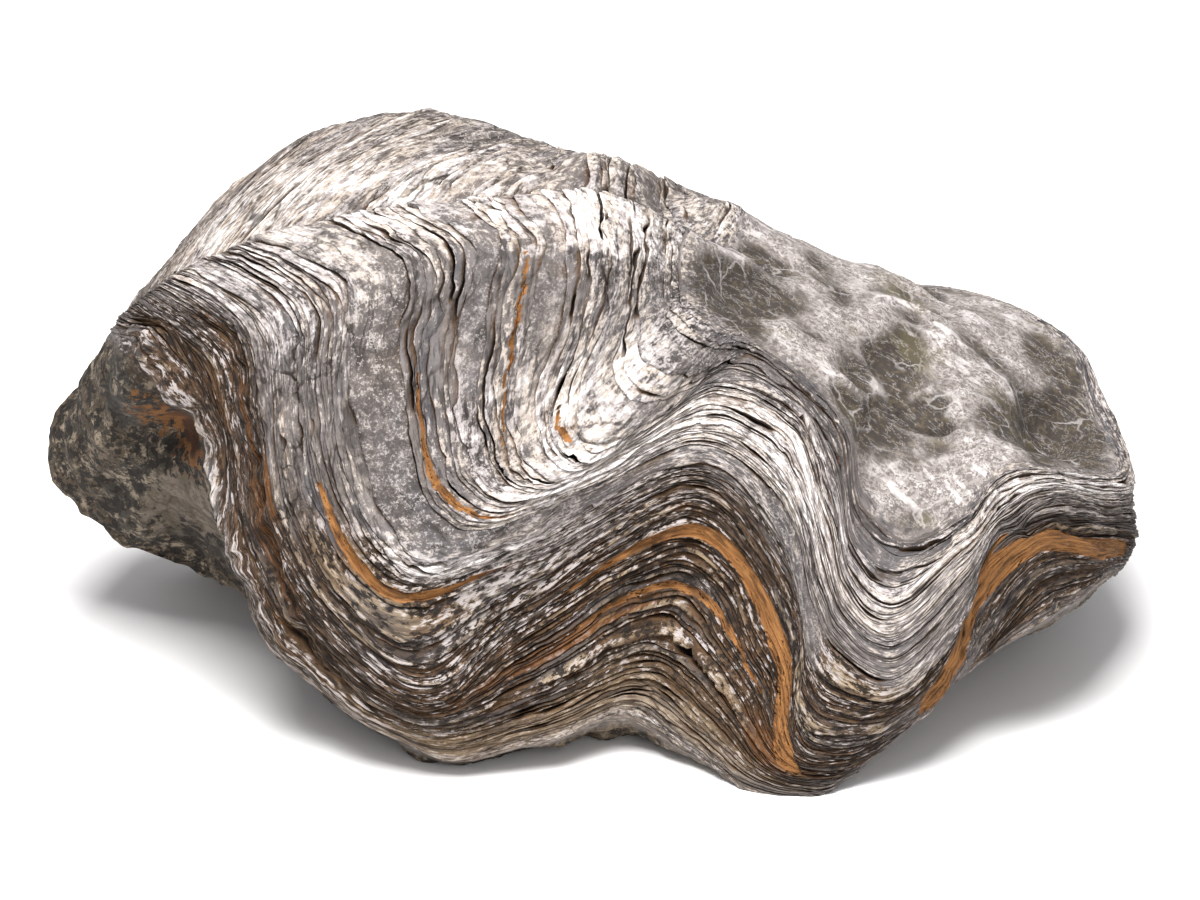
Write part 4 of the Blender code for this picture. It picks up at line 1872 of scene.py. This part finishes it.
@dataclass(frozen=True)
class PlateFinish(ShellFinish):
    """Growth plates: laminated stone with cracks, rust stains and clay-filled seams."""

    rust: Colour = tint(112, 72, 36)
    fleck: Colour = tint(192, 184, 179)
    shade: Colour = tint(66, 61, 59)
    streak: Span = (0.6, 0.2)
    rust_ragged: float = 0.9
    rust_depth: float = 0.75
    seam_depth: float = 0.7
    fleck_weight: float = 0.5
    shades: Ramp = (0.38, 0.26, 0.7)
    flecks: Ramp = (0.57, 0.67, 0.55)
    breaks: Span = (0.9, 0.2)
    clay_ragged: float = 0.8

    def colour(self, grounds: Grounds) -> Socket:
        """Colours the plates.

        Args:
            grounds: The shared effects.

        Returns:
            The colour.
        """
        bench, stone = grounds.bench, grounds.stone
        cracks, clay = bench.use(CRACK_NET, **grounds.ways), bench.use(CLAY_SKIN, **grounds.ways)
        streak = bench.math("MULTIPLY_ADD", grounds.lines["Bands"], *self.streak)
        rust = grounds.worn("rust", streak, self.rust_ragged)
        seams = bench.times(cracks["Seams"], bench.times(bench.painted("calm"), self.seam_depth))
        fleck = bench.weigh((stone["Specks"], self.fleck_weight), (stone["Mottle"], self.fleck_weight))
        slab = bench.times(bench.painted("broad"), bench.less(1.0, bench.painted("umber")))
        bare = bench.times(slab, bench.less(1.0, bench.painted("chalk")))
        breaks = bench.math("MULTIPLY_ADD", bench.painted("cracked"), *self.breaks)
        return bench.coats(
            grounds.layered,
            (bench.times(rust, self.rust_depth), self.rust),
            (seams, self.dark),
            (bench.times(bench.ramp(fleck, *self.shades), bare), self.shade),
            (bench.times(bench.ramp(fleck, *self.flecks), slab), self.fleck),
            (bench.times(cracks["Breaks"], breaks, clamp=True), self.dark),
            (grounds.worn("clay", clay["Relief"], self.clay_ragged), clay["Colour"]),
        )

    def grain(self, grounds: Grounds) -> dict[str, Socket]:
        """The grain drawn out along the plates."""
        return grounds.drawn


@dataclass(frozen=True)
class CapFinish(ShellFinish):
    """The smooth cap: taupe stone with painted light and shade, lighter where it stands high and dark
    in its dimples, pits and pores, with pale veins and an olive bloom.
    """

    name: str = "smooth_cap"
    rough: float = 0.62
    rough_swing: float = 0.24
    lined: float = 0.25
    taupe: Colour = tint(152, 143, 138)
    shade: Colour = tint(104, 96, 91)
    dimple_shade: Colour = tint(62, 55, 50)
    bloom: Colour = tint(86, 76, 62)
    vein: Colour = tint(216, 209, 206)
    olive: Colour = tint(104, 96, 66)
    slope: float = 0.6
    streak: Triple = (16.0, 6.0, 1.5)
    light: Span = (0.5, 0.42)
    light_clouds: float = 0.3
    light_hollow: float = -0.9
    mottled: Ramp = (0.3, 0.8)
    lit: Ramp = (0.0, 0.5)
    shade_lit: Ramp = (0.0, 0.4)
    fine: Clouds = Clouds(0.9, 4.0, 0.7, 0.54, 0.46, 0.85)
    olives: Clouds = Clouds(15.0, 4.0, 0.62, 0.57, 0.66, 0.36)
    vein_depth: float = 0.35
    raised_specks: Ramp = (0.2, 0.7, 0.75)
    pits: Ramp = (0.5, 0.1, 0.6)
    edge_ragged: float = 0.7
    flow: Clouds = Clouds(1.0, 5.0, 0.7, 0.52, 0.62, 0.75)
    flow_lit: Ramp = (0.1, 0.6)
    scratch: Clouds = Clouds(0.6, 4.0, 0.65, 0.02, 0.0, 0.28)

    def colour(self, grounds: Grounds) -> Socket:
        """Colours the cap.

        Args:
            grounds: The shared effects.

        Returns:
            The colour.
        """
        bench, stone, place = grounds.bench, grounds.stone, grounds.ways["Place"]
        # Painted light and shade: lighter where the cap's relief stands high, darker in its pits; it
        # sets where the taupe, the dark shade colour and the pale specks show.
        light = bench.weigh(
            (bench.less(stone["Clouds"], NOISE_MIDDLE), self.light_clouds),
            (bench.painted("hollow"), self.light_hollow),
            start=bench.math("MULTIPLY_ADD", bench.painted("relief"), *self.light),
        )
        mottled = bench.ramp(stone["Mottle"], *self.mottled)
        shade = bench.mix(bench.ramp(light, *self.shade_lit), self.dimple_shade, self.shade)
        veins = bench.times(bench.use(CRACK_NET, **grounds.ways)["Breaks"], self.vein_depth)
        # pale specks, only where the cap is painted lighter
        raised_specks = bench.times(stone["Specks"], bench.ramp(light, *self.raised_specks))
        colour = bench.coats(
            bench.mix(mottled, self.dimple_shade, self.bloom),
            (bench.ramp(light, *self.lit), self.taupe),
            (bench.clouds(place, self.fine), shade),
            (bench.clouds(place, self.olives), self.olive),
            (self.streaks(bench, place, light), self.vein),
            (veins, self.vein),
            (bench.times(raised_specks, mottled), self.vein),
            (bench.times(stone["Pores"], bench.ramp(stone["Mottle"], *self.pits)), self.dimple_shade),
        )
        bare = grounds.worn("cap", grounds.drawn["Mottle"], self.edge_ragged)
        return bench.mix(bare, grounds.layered, colour)

    def streaks(self, bench: Bench, place: Socket, light: Socket) -> Socket:
        """How pale each place is from streaks that run down the slope of the cap.

        Args:
            bench: Where the nodes go.
            place: The place on the object in millimetres.
            light: Painted light and shade: how high and bare the stone is, darker in its pits.

        Returns:
            The share of vein colour.
        """
        turned = bench.node("ShaderNodeMapping", vector_type="TEXTURE")
        bench.feed(turned, Vector=place, Rotation=(0.0, self.slope, 0.0), Scale=self.streak)
        turned = turned.outputs["Vector"]
        pale = bench.times(bench.clouds(turned, self.flow), bench.ramp(light, *self.flow_lit))
        away = bench.math("ABSOLUTE", bench.less(bench.noise(turned, self.scratch), NOISE_MIDDLE))
        return bench.math("MAXIMUM", pale, bench.spread(away, self.scratch))


@dataclass(frozen=True)
class LobeFinish(ShellFinish):
    """The rough underside and the left lobe: brown rock, dark lumps, rust and grey crust, with painted
    shade in their low places and creases.
    """

    name: str = "worn_lobe"
    lined: float = 0.3
    relief: float = 0.6
    # Painted shade: these browns are kept darker than the rock, since the lobe and underside face away
    # from the key light; dark shows in the low places and creases.
    dark: Colour = tint(26, 21, 17)
    brown: Colour = tint(84, 70, 54)
    lump: Colour = tint(46, 46, 44)
    crust: Colour = tint(152, 138, 120)
    smooth: Colour = tint(116, 105, 94)
    smooth_dark: Colour = tint(88, 78, 66)
    rust: Colour = tint(116, 76, 38)
    deep_rust: Colour = tint(62, 36, 18)
    relief_light: float = 0.3
    lit: Ramp = (-0.1, 0.9)
    lumps: Clouds = Clouds(9.0, 5.0, 0.6, 0.42, 0.72, 0.7)
    cold_ragged: float = 0.6
    coldness: float = 0.85
    crusts: Clouds = Clouds(2.2, 6.0, 0.78, 0.48, 0.6, 0.85)
    slab: Clouds = Clouds(3.5, 5.0, 0.7, 0.4, 0.6)
    slab_ragged: float = 0.5
    slab_depth: float = 0.85
    creases: Ramp = (0.3, 0.02)
    creasing: Span = (-0.5, 0.9)
    rust_ragged: float = 0.8
    rust_depth: float = 0.9
    rusts: Ramp = (0.6, 0.2)

    def colour(self, grounds: Grounds) -> Socket:
        """Colours the lobe and the underside.

        Args:
            grounds: The shared effects.

        Returns:
            The colour.
        """
        bench, stone, place = grounds.bench, grounds.stone, grounds.ways["Place"]
        # Painted light and shade: lighter on the raised lumps, darker in the low places.
        light = bench.weigh((bench.painted("relief"), self.relief_light), start=stone["Mottle"])
        cold = bench.times(grounds.worn("umber", stone["Mottle"], self.cold_ragged), self.coldness)
        pale = bench.times(bench.clouds(place, self.crusts), stone["Clouds"])
        slab = bench.mix(bench.clouds(place, self.slab), self.smooth_dark, self.smooth)
        smooth = grounds.worn("chalk", stone["Mottle"], self.slab_ragged)
        # painted shade in the creases, joined below with real cracks
        shade_and_cracks = bench.ramp(bench.times(stone["Mottle"], light), *self.creases)
        cracks = bench.use(CRACK_NET, **grounds.ways)["Breaks"]
        shade_and_cracks = bench.math("MAXIMUM", shade_and_cracks, cracks)
        worn = bench.math("MULTIPLY_ADD", smooth, *self.creasing)
        rust = grounds.worn("rust", stone["Mottle"], self.rust_ragged)
        stained = bench.mix(bench.ramp(stone["Clouds"], *self.rusts), self.rust, self.deep_rust)
        colour = bench.coats(
            self.dark,
            (bench.ramp(light, *self.lit), self.brown),
            (bench.math("MAXIMUM", bench.clouds(place, self.lumps), cold), self.lump),
            (pale, self.crust),
            (bench.times(smooth, self.slab_depth), slab),
            (bench.times(shade_and_cracks, worn), self.dark),
            (bench.times(rust, self.rust_depth), stained),
        )
        return bench.mix(bench.painted("lobe"), grounds.layered, colour)


@dataclass(frozen=True)
class Lamp:
    """A soft square light: its power in watts, and its side and place in metres."""

    name: str
    power: float
    size: float
    place: Triple

    def hang(self, aim: Vector) -> bpy.types.Object:
        """Hangs the light and points it at the aim.

        Args:
            aim: What it points at.

        Returns:
            The lamp.
        """
        data = bpy.data.lights.new(self.name, "AREA")
        data.energy, data.size = self.power, self.size
        lamp = bpy.data.objects.new(self.name, data)
        bpy.context.scene.collection.objects.link(lamp)
        lamp.location = self.place
        lamp.rotation_euler = (aim - lamp.location).to_track_quat("-Z", "Y").to_euler()
        return lamp


@dataclass(frozen=True)
class Studio:
    """A pale floor, soft lights and the camera, in metres apart from the camera's target."""

    lean: float = math.radians(25)
    camera_distance: float = 3.0
    lens: float = 540.0
    film: float = 36.0
    clip: Span = (0.1, 20.0)
    middle: Triple = (1.15, -35.45, 52.113)
    floor_size: float = 6.0
    floor_tint: Colour = tint(250, 249, 248)
    floor_rough: float = 0.9
    lamps: tuple[Lamp, ...] = (
        Lamp("key", 26.0, 0.7, (-0.1, -0.3, 1.2)),
        Lamp("front", 3.0, 0.7, (0.45, -1.2, 0.6)),
    )
    aim: Triple = (0.0, 0.0, 0.04)
    sky_tint: Colour = tint(252, 252, 255)
    sky_strength: float = 0.5

    def floor(self) -> bpy.types.Object:
        """Lays the floor.

        Returns:
            The floor, marked as not part of the object.
        """
        bpy.ops.mesh.primitive_plane_add(size=self.floor_size)
        floor = bpy.context.object
        floor.name = "studio_floor"
        material = bpy.data.materials.new("studio_floor")
        material.use_nodes = True
        shader = material.node_tree.nodes["Principled BSDF"]
        shader.inputs["Base Color"].default_value = self.floor_tint
        shader.inputs["Roughness"].default_value = self.floor_rough
        floor.data.materials.append(material)
        return floor

    def lights(self) -> None:
        """Hangs the lights and sets the sky."""
        for lamp in self.lamps:
            lamp.hang(Vector(self.aim))
        bpy.context.scene.view_settings.view_transform = "Standard"
        world = bpy.data.worlds.new("sky")
        bpy.context.scene.world = world
        world.use_nodes = True
        sky = world.node_tree.nodes["Background"]
        sky.inputs["Color"].default_value = self.sky_tint
        sky.inputs["Strength"].default_value = self.sky_strength

    def camera(self) -> bpy.types.Object:
        """Sets the camera at a long lens, so that the fossil is seen almost in parallel.

        Returns:
            The camera.
        """
        data = bpy.data.cameras.new("camera")
        data.lens, data.sensor_width = self.lens, self.film
        data.clip_start, data.clip_end = self.clip
        camera = bpy.data.objects.new("camera", data)
        bpy.context.scene.collection.objects.link(camera)
        looks = Vector((0.0, math.cos(self.lean), -math.sin(self.lean)))
        camera.location = Vector(self.middle) * MM - looks * self.camera_distance
        camera.rotation_euler = looks.to_track_quat("-Z", "Y").to_euler()
        bpy.context.scene.camera = camera
        return camera


@dataclass
class FossilOyster:
    """The whole fossil, zone by zone from the smooth cap to the worn underside."""

    cage: FoldCage = field(default_factory=FoldCage)
    rhythm: Rhythm = field(default_factory=Rhythm)
    cap_ends: Span = (-1.985, -0.03)
    cap_rows: int = 84
    cap_edge: Plate = Plate(-0.03, 0.03, PlateKind.MEDIUM, 50, 0.4)
    under_ends: Span = (6.03, 9.985)
    under_rows: int = 92
    bare_row: Row = Row(0.0, 0.5, 0.0, 0.0, 0, 1.0, 1.0)
    zone_names: tuple[str, ...] = ("crest", "upper", "shoulder", "middle", "lower", "rim")
    tuck: float = -2.2
    tuck_back: float = 0.2
    tuck_pull: float = 0.9

    def bare_rows(self, ends: Span, count: int) -> list[Row]:
        """Spreads rows with no ledges over a stretch of bare rock."""
        growths = np.linspace(*ends, count)
        return [replace(self.bare_row, growth=float(growth)) for growth in growths]

    def tucked(self, rows: list[Row], first: bool, last: bool) -> list[Row]:
        """Adds hidden rows at the ends, so that neighbouring zones overlap.

        Args:
            rows: The zone's rows.
            first: Whether a zone comes before it.
            last: Whether a zone comes after it.

        Returns:
            The rows with the hidden ones.
        """
        hidden = {"rise": self.tuck, "pull": self.tuck_pull, "before": 0.0}
        drawn = rows[0].growth - self.tuck_back * rows[0].width
        before = [replace(rows[0], growth=drawn, across=0.0, **hidden)]
        after = [replace(rows[-1], across=1.0, **hidden)]
        return before * first + rows + after * last

    def zones(self) -> list[ShellZone]:
        """Lays out the zones.

        Returns:
            The zones, cap first.
        """
        cap = self.bare_rows(self.cap_ends, self.cap_rows) + self.cap_edge.rows()[1:]
        cap = self.tucked(cap, False, True)
        zones = [ShellZone("smooth_cap", self.cage, cap, CapFinish(), closes_cap=True)]
        for laid, name in zip(self.rhythm.plates(), self.zone_names):
            rows = self.tucked([row for plate in laid for row in plate.rows()], True, True)
            zones.append(ShellZone(f"{name}_plates", self.cage, rows, PlateFinish()))
        under = self.tucked(self.bare_rows(self.under_ends, self.under_rows), True, False)
        zones.append(ShellZone("worn_underside", self.cage, under, LobeFinish(), closes_base=True))
        return zones

    def build(self) -> list[bpy.types.Object]:
        """Builds every zone and hangs it on the solid that it stands for.

        Returns:
            The pieces.
        """
        pieces = []
        for zone in self.zones():
            piece = zone.mesh(bpy.data.materials.get(zone.finish.name) or zone.finish.build())
            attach(piece, "root")
            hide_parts(NODE)
            LOG.info("%s: %d faces", piece.name, len(piece.data.polygons))
            pieces.append(piece)
        return pieces


def main() -> None:
    """Builds the fossil, the studio and the camera."""
    logging.basicConfig(level=logging.INFO)
    fossil = FossilOyster()
    pieces = fossil.build()
    LOG.info("fossil oyster: %d pieces", len(pieces))
    studio = Studio()
    studio.floor()
    studio.lights()
    studio.camera()
    LOG.info("studio ready")


if __name__ == "__main__":
    main()
